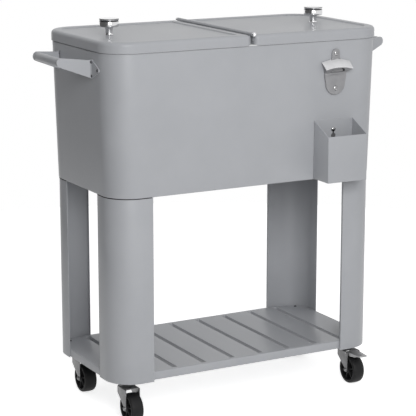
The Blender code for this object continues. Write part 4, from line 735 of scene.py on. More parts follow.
# %% Shelf
SHELF_CORNER, SHELF_FOLD, SHELF_SHEET = 0.078, 0.0022, 0.0015
SLOTS, SLOT_STEP, SLOT_HALF, SLOT_MARGIN = 8, 0.084, 0.0067, 0.0118
COLLAR, COLLAR_DROP = 0.0015, 0.014
PLATE_CORNER, PLATE_SHEET, PLATE_IN, PLATE_OUT = 0.0765, 0.0025, 0.0988, 0.18575
low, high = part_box("bottom_shelf")
shelf = block("shelf_tray", low, high)
rounded(shelf, upright, SHELF_CORNER, 16)
opened(shelf, facing_down)
rounded(shelf, lambda edge: not edge.is_boundary and not upright(edge), SHELF_FOLD, 4)
thicken(shelf, SHELF_SHEET)
slot_end = (high.y - low.y) / 2 - SLOT_MARGIN
for index in range(SLOTS):
    x = (index - (SLOTS - 1) / 2) * SLOT_STEP
    wide, long = SLOT_HALF + COLLAR, slot_end + COLLAR
    cut(shelf, block("collar", (x - wide, SHIFT - long, high.z - COLLAR_DROP),
                     (x + wide, SHIFT + long, high.z - 0.0007)), "UNION")
    cut(shelf, block("slot", (x - SLOT_HALF, SHIFT - slot_end, high.z - COLLAR_DROP - 0.004),
                     (x + SLOT_HALF, SHIFT + slot_end, high.z + 0.01)))
soften(shelf, 0.0006, 2, 40.0)
plates = []
for label, (side, end) in CORNERS.items():
    ends_x = sorted((side * (high.x - SHELF_CORNER), side * (high.x - 0.001)))
    ends_y = sorted((end * PLATE_IN, end * PLATE_OUT))
    corner_plate = block("plate_" + label, (ends_x[0], SHIFT + ends_y[0], low.z),
                         (ends_x[1], SHIFT + ends_y[1], low.z + PLATE_SHEET))
    rounded(corner_plate, lambda edge: upright(edge) and middle(edge).x * side > high.x - 0.01
            and (middle(edge).y - SHIFT) * end > 0.18, PLATE_CORNER, 14)
    plates.append(corner_plate)
joined(shelf, *plates)
dress(shelf, POWDER_COAT, "powder_coat", "chassis", "bottom_shelf")
print("shelf has", len(shelf.data.polygons), "faces")

# %% [markdown]
# The tub is moulded in pale plastic: a tapered basin with a rounded floor and a flat rim that lies on the shell.
# The basin is a bevelled box without its top, thickened outwards, and the rim is a plate with the same mouth cut
# out of it.

# %% Tub
FLOOR_X, FLOOR_Y, MOUTH_X, MOUTH_Y = 0.3555, 0.168, 0.369, 0.176
TUB_CORNER, TUB_FLOOR_CORNER, TUB_WALL, RIM_CORNER, RIM_THICK = 0.042, 0.012, 0.0025, 0.072, 0.003
low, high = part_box("inner_tub")
FLOOR = low.z + TUB_WALL
basin = block("tub_liner", (-FLOOR_X, -FLOOR_Y, FLOOR), (FLOOR_X, FLOOR_Y, high.z))
rounded(basin, upright, TUB_CORNER, 12)
pick(basin, "faces", facing_up)
bpy.ops.transform.resize(value=(MOUTH_X / FLOOR_X, MOUTH_Y / FLOOR_Y, 1.0))
rounded(basin, lambda edge: not upright(edge) and middle(edge).z < FLOOR + 0.0001, TUB_FLOOR_CORNER, 5)
mouth = twin(basin, "mouth", move=(0.0, 0.0, 0.002))
opened(basin, facing_up)
thicken(basin, TUB_WALL, 1.0)
rim = block("rim", (low.x, low.y - SHIFT, high.z - RIM_THICK), (high.x, high.y - SHIFT, high.z))
rounded(rim, upright, RIM_CORNER, 16)
cut(rim, mouth)
soften(rim, 0.0009, 2, 50.0)
joined(basin, rim)
cut(basin, settle(turned("drain_hole", [(DRAIN_HOLE, -0.02), (DRAIN_HOLE, 0.02)], 32), (DRAIN_X, 0.0, FLOOR)))
settle(basin, (0.0, SHIFT, 0.0))
dress(basin, TUB_PLASTIC, "tub_plastic", "chassis", "inner_tub")
print("tub has", len(basin.data.polygons), "faces")

# %% [markdown]
# Under each lid are a plastic liner and a rubber gasket that presses on the tub's rim. Both follow the lid's
# plan: wide curves at the end and tight ones at the seam.

# %% Lid liners and gaskets


def lid_plan(name, node, shrink=0.0, rise=(0.0, 0.0)):
    """A plate over a CAD node's box, or a smaller one inside it, with the lid's four corners."""
    low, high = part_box(node)
    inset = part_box("lid_right")[1].x - max(abs(low.x), abs(high.x)) + shrink
    piece = block(name, low + Vector((shrink, shrink, rise[0])), high - Vector((shrink, shrink, -rise[1])))
    lid_corners(piece, LID_CORNER - inset, 14, max(0.012 - inset, 0.003), 4)
    return piece


for label in ("left", "right"):
    liner = lid_plan("lid_liner_" + label, "lid_panel_" + label)
    cut(liner, lid_plan("liner_press", "lid_panel_" + label, 0.024, (-0.002, -0.0009)))
    soften(liner, 0.0004)
    dress(liner, TUB_PLASTIC, "tub_plastic", label + "_lid", "lid_panel_" + label)
    seal = lid_plan("lid_seal_" + label, "lid_gasket_" + label)
    cut(seal, lid_plan("seal_press", "lid_gasket_" + label, 0.008, (-0.002, 0.002)))
    soften(seal, 0.0012, 3)
    dress(seal, RUBBER, "gasket_rubber", label + "_lid", "lid_gasket_" + label)
    print(label, "liner and gasket", len(liner.data.polygons), len(seal.data.polygons))

# %% [markdown]
# The lids turn on one rod along the middle. A bar stands on the tub's rim and carries every third knuckle, and
# the leaves of the two lids carry the others. The rod ends in a small polished ball at the front and the back.

# %% Hinge
HINGE = (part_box("hinge_rod")[0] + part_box("hinge_rod")[1]) / 2
KNUCKLES, HINGE_HALF, KNUCKLE_STEP, KNUCKLE_GAP = 13, 0.1995, 0.399 / 13, 0.0005
KNUCKLE_HOLE, KNUCKLE_R, ROD_R, BALL_R = 0.0034, 0.0048, 0.003, 0.0053
WEB_HALF, WEB_SHEET_HALF, FOOT_HALF, FOOT_WIDE = 0.1840, 0.0015, 0.1757, 0.030


def knuckles(name, keep):
    """The tubes of one hinge part, along Y about the origin."""
    tubes = []
    for index in range(keep, KNUCKLES, 3):
        start = -HINGE_HALF + index * KNUCKLE_STEP + (KNUCKLE_GAP if index else 0.0)
        end = -HINGE_HALF + (index + 1) * KNUCKLE_STEP - (KNUCKLE_GAP if index < KNUCKLES - 1 else 0.0)
        half = [(KNUCKLE_HOLE, start), (0.0045, start), (KNUCKLE_R, start + 0.0003)]
        other = [(KNUCKLE_R, end - 0.0003), (0.0045, end), (KNUCKLE_HOLE, end)]
        tube = turned(name + str(index), half + other, 28, closed=True)
        tubes.append(settle(tube, turn=(math.radians(-90), 0.0, 0.0)))
    return tubes


rim_z = RIM_TOP - HINGE.z
web = block("hinge_bar", (-WEB_SHEET_HALF, -WEB_HALF, rim_z + 0.0003), (WEB_SHEET_HALF, WEB_HALF, -0.0036))
foot = block("bar_foot", (-FOOT_WIDE, -FOOT_HALF, rim_z - 0.003), (FOOT_WIDE, FOOT_HALF, rim_z))
soften(foot, 0.0008)
neck = block("bar_neck", (-WEB_SHEET_HALF, -FOOT_HALF, rim_z - 0.002), (WEB_SHEET_HALF, FOOT_HALF, rim_z + 0.003))
soften(web, 0.0003)
bar = settle(joined(web, foot, neck, *knuckles("bar_knuckle", 0)), HINGE)
dress(bar, POWDER_COAT, "powder_coat", "chassis", "centre_bar")

LEAF_OUT, LEAF_IN, LEAF_HALF, LEAF_TOP = 0.0062, 0.0050, 0.190, -0.0030
for side, label, keep in ((-1.0, "left", 1), (1.0, "right", 2)):
    ends = sorted((side * LEAF_OUT, side * LEAF_IN))
    leaf = block("leaf_" + label, (ends[0], -LEAF_HALF, -0.017), (ends[1], LEAF_HALF, LEAF_TOP))
    arms = []
    for index in range(keep, KNUCKLES, 3):
        start = -HINGE_HALF + index * KNUCKLE_STEP + KNUCKLE_GAP
        ends = sorted((side * LEAF_OUT, 0.0))
        arms.append(block("leaf_arm", (ends[0], start, LEAF_TOP - SHEET),
                          (ends[1], start + KNUCKLE_STEP - 2 * KNUCKLE_GAP, LEAF_TOP)))
    joined(leaf, *arms, *knuckles("leaf_knuckle", keep))
    dress(settle(leaf, HINGE), POWDER_COAT, "powder_coat", label + "_lid", "hinge_leaf_" + label)

ball_at = HINGE_HALF + 0.0003 + BALL_R * math.sin(math.radians(50))
ball = arc((0.0, ball_at), BALL_R, 88, -50, 16)
upper = ball + [(ROD_R, ball[-1][1])]
rod = settle(turned("rod_with_balls", upper + below(upper), 32), HINGE, FRONT)
dress(rod, ROD_STEEL, "chrome", "chassis", "hinge_rod")
print("hinge parts", len(bar.data.polygons), len(rod.data.polygons))

# %% [markdown]
# The knobs are turned and chromed: a wide cap with one groove near its top, over a waisted neck. Small curves at
# every edge matter most here, because polished metal draws a bright line along each of them. The rounded rim and
# the groove get a darker chrome of their own, a painted dark reflection of the dark side of a room.

# %% Knobs
CAP, CAP_EDGE, KNOB_X = 0.0247, 0.0016, 0.300
PAINTED_REFLECTION_RIM, PAINTED_REFLECTION_GROOVE = (0.00035, 0.0022), (0.0044, 0.0072)
low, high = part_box("knob_left")
top, base = high.z, low.z
cap_top = raised(top, (0.0004, 0.0), (0.012, -0.0001), (CAP - 0.0022, -0.0003))
groove = raised(top, (CAP, -0.0040), (CAP - 0.0004, -0.0046), (CAP - 0.0013, -0.0052), (CAP - 0.0013, -0.0062),
                (CAP - 0.0004, -0.0068), (CAP, -0.0074))
waist = raised(top, (0.0150, -0.0209), (0.0118, -0.0212), (0.0106, -0.0225), (0.0097, -0.0260), (0.0091, -0.0310))
root = raised(base, (0.0090, 0.0030), (0.0093, 0.0015), (0.0100, 0.0004), (0.0102, 0.0))
knob = turned("knob_pattern", cap_top + arc((CAP - CAP_EDGE, top - 0.0019), CAP_EDGE, 80, 0, 5) + groove
              + arc((CAP - CAP_EDGE, top - 0.0190), CAP_EDGE, 0, -80, 5) + waist + root, 64)
# Faces in the rim and groove bands get the darker chrome as a painted dark reflection.
for side, label in ((-1.0, "left"), (1.0, "right")):
    one = twin(knob, "chrome_knob_" + label, move=(side * KNOB_X, SHIFT, 0.0))
    dress(one, CHROME, "chrome", label + "_lid", "knob_" + label, angle=50.0)
    one.data.materials.append(CHROME_PAINTED_DARK_REFLECTION)
    for face in one.data.polygons:
        drop = top - face.center.z
        if PAINTED_REFLECTION_RIM[0] < drop < PAINTED_REFLECTION_RIM[1] or PAINTED_REFLECTION_GROOVE[0] < drop < PAINTED_REFLECTION_GROOVE[1]:
            face.material_index = 1
discard(knob)
print("knob top at", round(top, 4))

# %% [markdown]
# Each side handle is a round grip between two bent brackets. A bracket is one strip of thick sheet: its foot lies
# on the wall under three screws, then it bends out and narrows as it rises to the grip. The strip is bent first
# and trimmed afterwards with its two side outlines, as a press would do it.

# %% Side handles
HANDLE_Z, WALL_X, LEAN = 0.8910, 0.392151, math.atan2(0.0095, 0.3555)
REACH, RISE, TIP = 0.072, 0.018, 0.0117
ROOT_Y, GRIP_Y, SCREW_Z, SCREW_OUT = 0.0985, 0.0765, 0.017, 0.034
BRACKET_SHEET, FOOT_END, FOOT_ROUND, FOOT_TALL = 0.003, 0.1392, 0.0067, 0.0235


def tangent(point, centre, radius, side):
    """Angle in degrees at which a line from a point touches a circle."""
    run, rise = centre[0] - point[0], centre[1] - point[1]
    lean = math.atan2(rise, run) + side * math.asin(radius / math.hypot(run, rise))
    return math.degrees(lean) + side * 90


slope = (ROOT_Y - GRIP_Y) / REACH
bend_y = ROOT_Y - slope * BRACKET_SHEET
far_x = REACH + 0.02
bracket = strip("bracket_pattern", [(BRACKET_SHEET, FOOT_END), (BRACKET_SHEET, bend_y),
                                    (far_x, ROOT_Y - slope * far_x)], -0.06, 0.06)
rounded(bracket, lambda edge: upright(edge) and abs(middle(edge).y - bend_y) < 0.0001, 0.0040, 8)
outwards(bracket, lambda face: face.normal.x)
thicken(bracket, BRACKET_SHEET)
mended(bracket)
shoulder = (0.006, 0.02175)
low_touch = tangent((shoulder[0], -shoulder[1]), (REACH, RISE), TIP, -1)
high_touch = tangent(shoulder, (REACH, RISE), TIP, 1)
side_view = ([(-0.002, -FOOT_TALL), (0.004, -FOOT_TALL), (shoulder[0], -shoulder[1])]
             + arc((REACH, RISE), TIP, low_touch, high_touch, 20)
             + [shoulder, (0.004, FOOT_TALL), (-0.002, FOOT_TALL)])
cut(bracket, plate("side_mask", side_view, -0.3, 0.3, FRONT), "INTERSECT")
front_view = ([(0.03, -0.05), (ROOT_Y, -0.05)] + arc((ROOT_Y, -SCREW_Z), FOOT_ROUND, -90, -45, 5)
              + arc((ROOT_Y + SCREW_OUT, 0.0), FOOT_ROUND, -45, 45, 8)
              + arc((ROOT_Y, SCREW_Z), FOOT_ROUND, 45, 90, 5) + [(ROOT_Y, 0.05), (0.03, 0.05)])
cut(bracket, plate("front_mask", front_view, -0.3, 0.3, SIDE), "INTERSECT")
soften(bracket, 0.0006, 2, 40.0)
head = turned("head", [(0.0002, 0.0026), (0.0016, 0.00245), (0.0029, 0.0019), (0.0038, 0.0010), (0.0042, 0.0),
                       (0.0042, -0.0006)], 24)
heads = [twin(head, "head_%d" % index, turn=ALONG_X, move=(BRACKET_SHEET, y, z))
         for index, (y, z) in enumerate(((ROOT_Y, SCREW_Z), (ROOT_Y, -SCREW_Z), (ROOT_Y + SCREW_OUT, 0.0)))]
screws = joined(*heads)
discard(head)
half = GRIP_Y - 0.0020
grip_end = [(0.0101, half), (0.0107, half - 0.0002), (0.0109, half - 0.0008)]
grip = settle(turned("grip_pattern", grip_end + below(grip_end), 40), (REACH, 0.0, RISE), FRONT)
for side, label in ((-1.0, "left"), (1.0, "right")):
    tilt = (0.0, side * LEAN, 0.0)
    spot = (side * WALL_X, SHIFT, HANDLE_Z)
    for end, tag in ((-1.0, "front"), (1.0, "back")):
        arm = twin(bracket, "handle_arm_%s_%s" % (label, tag), (side, end, 1.0), spot, tilt)
        dress(arm, POWDER_COAT, "powder_coat", "chassis", "bracket_%s_%s" % (label, tag))
        modify(arm, "WEIGHTED_NORMAL", keep_sharp=True)
        dots = twin(screws, "handle_screws_%s_%s" % (label, tag), (side, end, 1.0), spot, tilt)
        dress(dots, DARK_SCREW, "dark_screw", "chassis", angle=60.0)
    rod = twin(grip, "handle_grip_" + label, (side, 1.0, 1.0), spot, tilt)
    dress(rod, POWDER_COAT, "powder_coat", "chassis", "grip_" + label, angle=50.0)
discard(bracket, screws, grip)

# %% [markdown]
# The bottle opener is one rough casting screwed to the front: a tongue-shaped plate with a small tab on top and a
# hood that juts out. The hood's lip is arched, and behind it is the mouth that bites the cap. The hood starts as
# a slab with many columns, so that its back edge can rise to the tab and its lip can follow the arch. Its top has
# a lighter metal as painted light, its sides and underside the plate's grey as painted shade, and the inside of
# the mouth a near-black painted shadow.

# %% Bottle opener
OPENER_AT = Vector((0.2425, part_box("bottle_opener")[1].y, 0.7956))
FRONT_LEAN = math.atan2(0.004, 0.3555)
OPENER_TURN = (FRONT_LEAN, 0.0, 0.0)
TONGUE_R, TAB_R, TAB_Z, PLATE_THICK = 0.0285, 0.0115, 0.107, 0.0048
HOOD_HALF, LIP_HALF, COLUMNS, LIP_Z, LIP_ARCH = 0.0425, 0.0405, 28, 0.0665, 0.0062
GRIN_X, GRIN_Z, GRIN_HALF, GRIN_UP, GRIN_DOWN = 0.00175, 0.0610, 0.02075, 0.0098, 0.0022
LEDGE_HALF = 0.0262
flank = [(0.0319, 0.045), (0.0323, 0.055), (0.0323, 0.078), (0.0165, 0.0890), (0.0125, 0.0925), (TAB_R, 0.0965)]
outline = (arc((0.0, TONGUE_R), TONGUE_R, -180, 0, 28) + flank + arc((0.0, TAB_Z), TAB_R, 0, 180, 18)
           + [(-x, z) for x, z in reversed(flank)])
opener = plate("opener_casting", outline, 0.0, PLATE_THICK, FRONT)
soften(opener, 0.0011, 3, 40.0)

back_row = [(HOOD_HALF - 2 * HOOD_HALF * step / COLUMNS, -0.0022) for step in range(COLUMNS + 1)]
lip_row = [(-LIP_HALF + 2 * LIP_HALF * step / COLUMNS, -0.0230) for step in range(COLUMNS + 1)]
hood = plate("opener_hood", back_row + lip_row, 0.0, 0.01)
for corner in hood.data.vertices:
    share = abs(corner.co.x) / HOOD_HALF
    upper = corner.co.z > 0.005
    if corner.co.y > -0.01:
        corner.co.z = 0.0852 + 0.0100 * (1.0 - share) if upper else 0.0560
        corner.co.y = -0.0030 if upper else -0.0040
        corner.co.x *= 1.0 if upper else 0.72
    else:
        lip = LIP_Z + LIP_ARCH * (1.0 - share ** 2)
        corner.co.z = lip + 0.0020 if upper else lip
        corner.co.y += 0.0 if upper else 0.0006
mended(hood)
grin = [(GRIN_X + GRIN_HALF * math.cos(angle), GRIN_Z + (GRIN_UP if angle < math.pi else GRIN_DOWN) * math.sin(angle))
        for angle in [math.pi * step / 14 for step in range(28)]]
cut(hood, plate("mouth", grin, 0.0052, 0.0212, FRONT))
soften(hood, 0.0009, 3, 28.0)
ledge = plate("ledge", [(LEDGE_HALF, -0.003)] + [(LEDGE_HALF * math.cos(a), -0.0045 - 0.0026 * math.sin(a))
                                                for a in [math.pi * step / 16 for step in range(17)]]
              + [(-LEDGE_HALF, -0.003)], 0.0508, 0.0528)
soften(ledge, 0.0006, 2, 40.0)
joined(opener, ledge)
# A near-black sheet just behind the mouth is painted shadow.
shade = plate("mouth_painted_shadow_sheet", [(GRIN_X + 0.9 * (x - GRIN_X), z) for x, z in grin], 0.0049, 0.0051, FRONT)
dress(settle(opener, OPENER_AT, OPENER_TURN), CAST_PLATE_AND_HOOD_PAINTED_SHADE, "cast_opener", "chassis", "bottle_opener", angle=30.0)
dress(settle(shade, OPENER_AT, OPENER_TURN), MOUTH_PAINTED_SHADOW, "cast_opener", "chassis")
dress(settle(hood, OPENER_AT, OPENER_TURN), HOOD_PAINTED_LIGHT, "cast_opener", "chassis", angle=30.0)
hood.data.materials.append(CAST_PLATE_AND_HOOD_PAINTED_SHADE)
hood.data.materials.append(MOUTH_PAINTED_SHADOW)
# Painted light and shade: the hood's top keeps the lighter metal, its sides and underside get the plate's grey as
# painted shade, and faces inside the mouth get the near-black painted shadow.
for face in hood.data.polygons:
    spot = Matrix.Rotation(-FRONT_LEAN, 3, "X") @ (face.center - OPENER_AT)
    arch = LIP_ARCH * (1.0 - (spot.x / HOOD_HALF) ** 2)
    under = face.normal.z < 0.05 and spot.z < LIP_Z - 0.0001 + arch and spot.y > -0.0225
    grin_tall = (GRIN_UP if spot.z > GRIN_Z else GRIN_DOWN) + 0.0004
    inside = ((spot.x - GRIN_X) / 0.0212) ** 2 + ((spot.z - GRIN_Z) / grin_tall) ** 2 < 1.05
    if abs(face.normal.x) > 0.75 or under:
        face.material_index = 1
    if inside and -0.0215 < spot.y < -0.0045 and not (under and face.normal.y < -0.4):
        face.material_index = 2
print("hood faces by finish", [sum(face.material_index == index for face in hood.data.polygons)
                               for index in range(3)])

# %% [markdown]
# The cap catcher hangs on one screw by a keyhole, so it lifts off to be emptied. It is folded from thin sheet: a
# box whose top runs down towards the front. Its bare rims catch the light as thin bright lines, which is what a
# small bevel on every edge gives. A thin dark rubber pad behind the keyhole is painted shadow seen through it.

# %% Cap catcher
CATCHER_AT = Vector((0.2410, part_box("cap_catcher")[1].y, 0.5805))
CATCHER_HALF, CATCHER_SHEET, HOOK_Z = 0.0585, 0.0015, 0.125
KEY_NARROW, KEY_ROUND, KEY_DROP = 0.0025, 0.0068, 0.016
inner_half = CATCHER_HALF - CATCHER_SHEET
catcher = plate("catcher_box", [(0.0, 0.0), (0.0, 0.152), (-0.070, 0.119), (-0.0725, 0.0)],
                -CATCHER_HALF, CATCHER_HALF, SIDE)
rounded(catcher, lambda edge: abs(middle(edge).x) > 0.058 or middle(edge).z < 0.0001, 0.0014, 3)
cut(catcher, plate("hollow", [(-0.0015, 0.0015), (-0.0015, 0.165), (-0.0675, 0.165), (-0.0710, 0.0015)],
                   -inner_half, inner_half, SIDE))
keyhole = plate("keyhole", [(KEY_NARROW, HOOK_Z - KEY_DROP)] + arc((0.0, HOOK_Z), KEY_NARROW, 0, 180, 12)
                + [(-KEY_NARROW, HOOK_Z - KEY_DROP)], -0.002, 0.006, FRONT)
cut(keyhole, settle(turned("key_round", [(KEY_ROUND, -0.002), (KEY_ROUND, 0.006)], 32),
                    (0.0, 0.0, HOOK_Z - KEY_DROP), FRONT), "UNION")
cut(catcher, keyhole)
soften(catcher, 0.0004, 2, 50.0)
dress(settle(catcher, CATCHER_AT, OPENER_TURN), POWDER_COAT, "powder_coat", "catcher", "cap_catcher", angle=20.0)
# A dark rubber pad behind the keyhole: painted shadow seen through the slot.
pad = block("keyhole_painted_shadow_pad", (-0.009, 0.00005, HOOK_Z - 0.025), (0.009, 0.00022, HOOK_Z + 0.006))
dress(settle(pad, CATCHER_AT, OPENER_TURN), RUBBER, "gasket_rubber", "catcher")
print("catcher", [round(v, 4) for v in catcher.dimensions])

# %% [markdown]
# All small screws have dome heads with a cross for the driver. One head is turned, two thin blocks cut the cross,
# and copies go to the opener, the catcher and the shelf, each scaled to its own size before it is placed.

# %% Screws
HEAD_R, HEAD_HIGH = 0.0055, 0.0026
PLATED_SIZE, TRAY_SIZE = 1.15, 0.0042 / HEAD_R
dome_head = turned("dome_head", [(0.0003, HEAD_HIGH), (0.0016, 0.00250), (0.0030, 0.0021), (0.0042, 0.0014),
                                 (0.0051, 0.0006), (HEAD_R, 0.0), (0.0020, 0.0), (0.0020, -0.0014)], 40)
for wide, deep in ((0.0042, 0.0009), (0.0009, 0.0042)):
    cut(dome_head, block("cross", (-wide / 2, -deep / 2, 0.0014), (wide / 2, deep / 2, 0.004)))
soften(dome_head, 0.00012, 1, 40.0)
screw_turn = (FRONT_LEAN + math.radians(90), 0.0, 0.0)
lean_matrix = Matrix.Rotation(FRONT_LEAN, 4, "X")
for name, node, anchor, spot in (
        ("opener_screw_top", "opener_screw_high", OPENER_AT, Vector((0.0, -0.0053, TAB_Z))),
        ("opener_screw_bottom", "opener_screw_low", OPENER_AT, Vector((0.0, -0.0053, 0.0175))),
        ("catcher_hook_screw", "catcher_screw", CATCHER_AT, Vector((0.0, -0.0018, HOOK_Z)))):
    one = twin(dome_head, name, (PLATED_SIZE, PLATED_SIZE, 1.0), anchor + lean_matrix @ spot, screw_turn)
    dress(one, CHROME_SCREW, "bright_steel", "chassis", node, angle=40.0)
for label in CORNERS:
    spot = over("shelf_screw_" + label)
    spot.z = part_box("shelf_screw_" + label)[1].z - HEAD_HIGH
    one = twin(dome_head, "tray_screw_" + label, (TRAY_SIZE, TRAY_SIZE, 1.0), spot)
    dress(one, DARK_SCREW, "dark_screw", "chassis", "shelf_screw_" + label, angle=40.0)
discard(dome_head)
print("tray screws reach z", round(spot.z + HEAD_HIGH, 4))

# %% [markdown]
# A caster has many parts that move apart: a stem that stays with the shelf, a fork that swivels, an axle and a
# wheel that rolls. The fork is a channel of bent sheet, trimmed from the side so that both cheeks taper to the
# axle. Everything is drawn about the swivel axis and then copied to the four corners.

# %% Caster fork and stem
TRAIL, WHEEL_R, CHEEK, CROWN, FORK_SHEET = 0.032, 0.038, 0.02025, 0.090, 0.0021
PLATE_Z = CROWN + 0.0165
fork = strip("fork_pattern", [(-CHEEK, 0.02), (-CHEEK, CROWN), (CHEEK, CROWN), (CHEEK, 0.02)], -0.012, 0.042)
rounded(fork, lambda edge: upright(edge) and middle(edge).y > CROWN - 0.001, 0.0042, 7)
settle(fork, turn=FRONT)
outwards(fork, lambda face: face.normal.z)
thicken(fork, FORK_SHEET)
cheek_side = ([(0.009, 0.0955), (-0.039, 0.0955), (-0.039, 0.060)] + arc((-TRAIL, WHEEL_R), 0.0065, 180, 390, 20)
              + [(0.0088, 0.0705), (0.009, 0.073)])
cut(fork, plate("cheek_mask", cheek_side, -0.05, 0.05, SIDE), "INTERSECT")
soften(fork, 0.0005, 2, 40.0)
race = turned("race", raised(CROWN, (0.0043, -0.0018), (0.0176, -0.0018), (0.0183, 0.0), (0.0185, 0.0022),
                             (0.0180, 0.0030), (0.0166, 0.0034), (0.0160, 0.0042), (0.0162, 0.0058),
                             (0.0158, 0.0068), (0.0043, 0.0068)), 48, closed=True)
braked = twin(fork, "braked_fork")
cut(braked, block("pedal_gap", (-0.01825, -0.0392, 0.0845), (0.01825, -0.0259, 0.0935)))
joined(fork, twin(race, "race_a"))
joined(braked, race)
bolt_and_cup = raised(PLATE_Z, (0.0003, 0.0088), (0.0040, 0.0088), (0.0048, 0.0080), (0.0048, -0.0003),
                      (0.0172, -0.0003), (0.0196, -0.0009), (0.0207, -0.0024), (0.0210, -0.0048),
                      (0.0210, -0.0084), (0.0206, -0.0092), (0.0192, -0.0092), (0.0188, -0.0080),
                      (0.0040, -0.0080))
rivet = raised(CROWN, (0.0040, -0.0028), (0.0070, -0.0028), (0.0070, -0.0040), (0.0060, -0.0048), (0.0003, -0.0048))
stem = turned("stem_pattern", bolt_and_cup + rivet, 48)
nut = turned("stem_nut", raised(PLATE_Z, (0.0049, 0.0028), (0.0084, 0.0028), (0.0090, 0.0034), (0.0090, 0.0078),
                                (0.0084, 0.0087), (0.0049, 0.0087)), 6, closed=True)
joined(stem, nut)
axle_end = [(0.0003, 0.0240), (0.0026, 0.0238), (0.0044, 0.0229), (0.0054, 0.0215), (0.0055, 0.0206),
            (0.0040, 0.0206)]
axle = settle(turned("axle_pattern", axle_end + below(axle_end), 32), (0.0, -TRAIL, WHEEL_R), ALONG_X)
print("fork", [round(v, 4) for v in fork.dimensions])

# %% [markdown]
# The wheel is one moulding: a crowned tread, a thin web and a hub, with six ribs on either side. The ribs are
# one thin block with a slanted outer edge, copied round the hub by turning it sixty degrees at a time.

# %% Wheel
rim = [(0.0043, 0.0164), (0.0094, 0.0164), (0.0100, 0.0158), (0.0104, 0.0030), (0.0112, 0.0025), (0.0272, 0.0025),
       (0.0281, 0.0031), (0.0287, 0.0150), (0.0290, 0.0160), (0.0298, 0.0166), (0.0338, 0.0166), (0.0352, 0.0160),
       (0.0363, 0.0147), (0.0371, 0.0125), (0.0377, 0.0080)]
wheel = turned("wheel_pattern", rim + [(WHEEL_R, 0.0)] + below(rim), 72, closed=True)
ribs = []
for index in range(6):
    for side in (-1.0, 1.0):
        lows = sorted((side * 0.0015, side * 0.0142))
        rib = block("rib", (0.0095, -0.0014, lows[0]), (0.0290, 0.0014, lows[1]))
        rounded(rib, lambda edge: abs(middle(edge).z) > 0.014 and abs(middle(edge).x - 0.0193) < 0.001, 0.0006, 2)
        ribs.append(settle(rib, turn=(0.0, 0.0, math.radians(60 * index + 15))))
joined(wheel, *ribs)
settle(wheel, (0.0, -TRAIL, WHEEL_R), ALONG_X)
print("wheel has", len(wheel.data.polygons), "faces")

# %% [markdown]
# A brake pedal is pressed from sheet: a flat toe plate with its sides and tip turned down, narrower at the tip.
# Under it sits the pad that closes on the tread. It is drawn about its pin and then moved to the fork's nose.

# %% Brake pedal
PIN = Vector((0.0, -0.031, 0.0852))
TOE_HALF, TIP_HALF, TOE_LONG = 0.0169, 0.0119, 0.0568
pedal = block("pedal_pattern", (-TOE_HALF, -TOE_LONG, -0.009), (TOE_HALF, 0.0, 0.0031))
pick(pedal, "faces", lambda face: face.normal.y < -0.9)
bpy.ops.transform.resize(value=(TIP_HALF / TOE_HALF, 1.0, 1.0))
rounded(pedal, lambda edge: upright(edge) and middle(edge).y < -0.05, 0.0040, 5)
rounded(pedal, lambda edge: not upright(edge) and middle(edge).z > 0.003 and middle(edge).y < -0.001, 0.0016, 4)
opened(pedal, lambda face: facing_down(face) or face.normal.y > 0.9)
thicken(pedal, 0.0016)
toe_side = [(0.001, -0.0070), (-0.020, -0.0070), (-0.050, -0.0002), (-0.058, -0.0002), (-0.058, 0.006),
            (0.001, 0.006)]
cut(pedal, plate("toe_mask", toe_side, -0.03, 0.03, SIDE), "INTERSECT")
soften(pedal, 0.0003, 2, 45.0)
pad = block("pad", (-0.0100, -0.0248, -0.0088), (0.0100, -0.0172, 0.0022))
soften(pad, 0.0008)
tube_end = [(0.0021, 0.0165), (0.0033, 0.0165), (0.0036, 0.0162)]
hinge_tube = settle(turned("hinge_tube", tube_end + below(tube_end), 28, closed=True), turn=ALONG_X)
settle(joined(pedal, pad, hinge_tube), PIN)
pin_end = [(0.0003, 0.02155), (0.0019, 0.0214), (0.0028, 0.0209), (0.0028, 0.0206), (0.0018, 0.0206)]
pin = settle(turned("pin_pattern", pin_end + below(pin_end), 24), PIN, ALONG_X)
print("pedal", [round(v, 4) for v in pedal.dimensions])

# %% [markdown]
# The four corners get the same caster, turned the same way. Only the two on the right have the fork with a gap
# for the pedal, and the pedal on its pin.

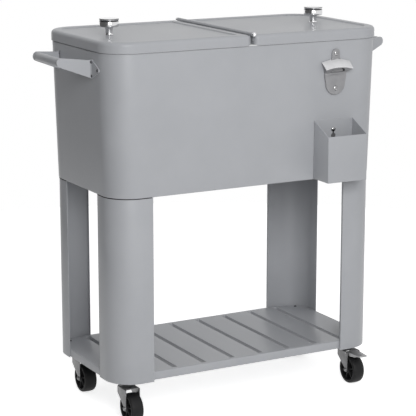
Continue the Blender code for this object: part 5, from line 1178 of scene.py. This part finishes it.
# %% Four casters
for label in CORNERS:
    spot = over("caster_stem_" + label)
    brakes = label.endswith("right")
    kit = [(stem, "swivel_stem_", ZINC_PAINTED_HIGHLIGHT, "bright_steel", "chassis", "caster_stem_"),
           (braked if brakes else fork, "caster_fork_", ZINC, "bright_steel", "caster_" + label, "fork_"),
           (axle, "caster_axle_", ZINC, "bright_steel", "caster_" + label, "axle_"),
           (wheel, "caster_wheel_", WHEEL_BLACK, "wheel_plastic", "roller_" + label, "wheel_")]
    if brakes:
        kit += [(pedal, "toe_pedal_", ZINC_PAINTED_HIGHLIGHT, "bright_steel", "brake_" + label, "brake_pedal_"),
                (pin, "toe_pin_", ZINC_PAINTED_HIGHLIGHT, "bright_steel", "caster_" + label, "pedal_pin_")]
    for pattern, name, finish, slot, body, node in kit:
        dress(twin(pattern, name + label, move=spot), finish, slot, body, node + label)
discard(stem, fork, braked, axle, wheel, pedal, pin)

# %% [markdown]
# Melted ice runs out through a spout in the tub's floor. A flange lies on the floor, the tube goes down through
# the pan, and a ribbed cap closes it from below.

# %% Drain
CAP_RIBS = 16
low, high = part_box("drain_spout")
place = over("drain_spout")
flange = raised(high.z, (0.0065, -0.0006), (0.0072, 0.0), (0.0156, 0.0), (0.0168, -0.0007), (0.0170, -0.0015),
                (0.0170, -0.0024), (0.0095, -0.0025))
tube = raised(low.z, (0.0095, 0.0008), (0.0088, 0.0), (0.0065, 0.0))
spout = turned("spout", flange + tube, 48, closed=True)
dress(settle(spout, place), DRAIN_BLACK, "drain_plastic", "chassis", "drain_spout")
low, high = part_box("drain_cap")
skirt = raised(high.z, (0.0098, 0.0), (0.0124, 0.0), (0.0130, -0.0006))
cup = raised(low.z, (0.0130, 0.0012), (0.0120, 0.0), (0.0002, 0.0), (0.0002, 0.0025), (0.0098, 0.0025))
cap = turned("cap", skirt + cup, 48, closed=True)
ribs = []
for index in range(CAP_RIBS):
    rib = block("cap_rib", (0.0125, -0.0007, low.z + 0.0015), (0.0139, 0.0007, high.z - 0.0012))
    soften(rib, 0.0003, 1)
    ribs.append(settle(rib, turn=(0.0, 0.0, math.radians(360 / CAP_RIBS * index))))
joined(cap, *ribs)
dress(settle(cap, place), DRAIN_BLACK, "drain_plastic", "drain_plug", "drain_cap")
print("drain cap hangs at", round(low.z, 4))
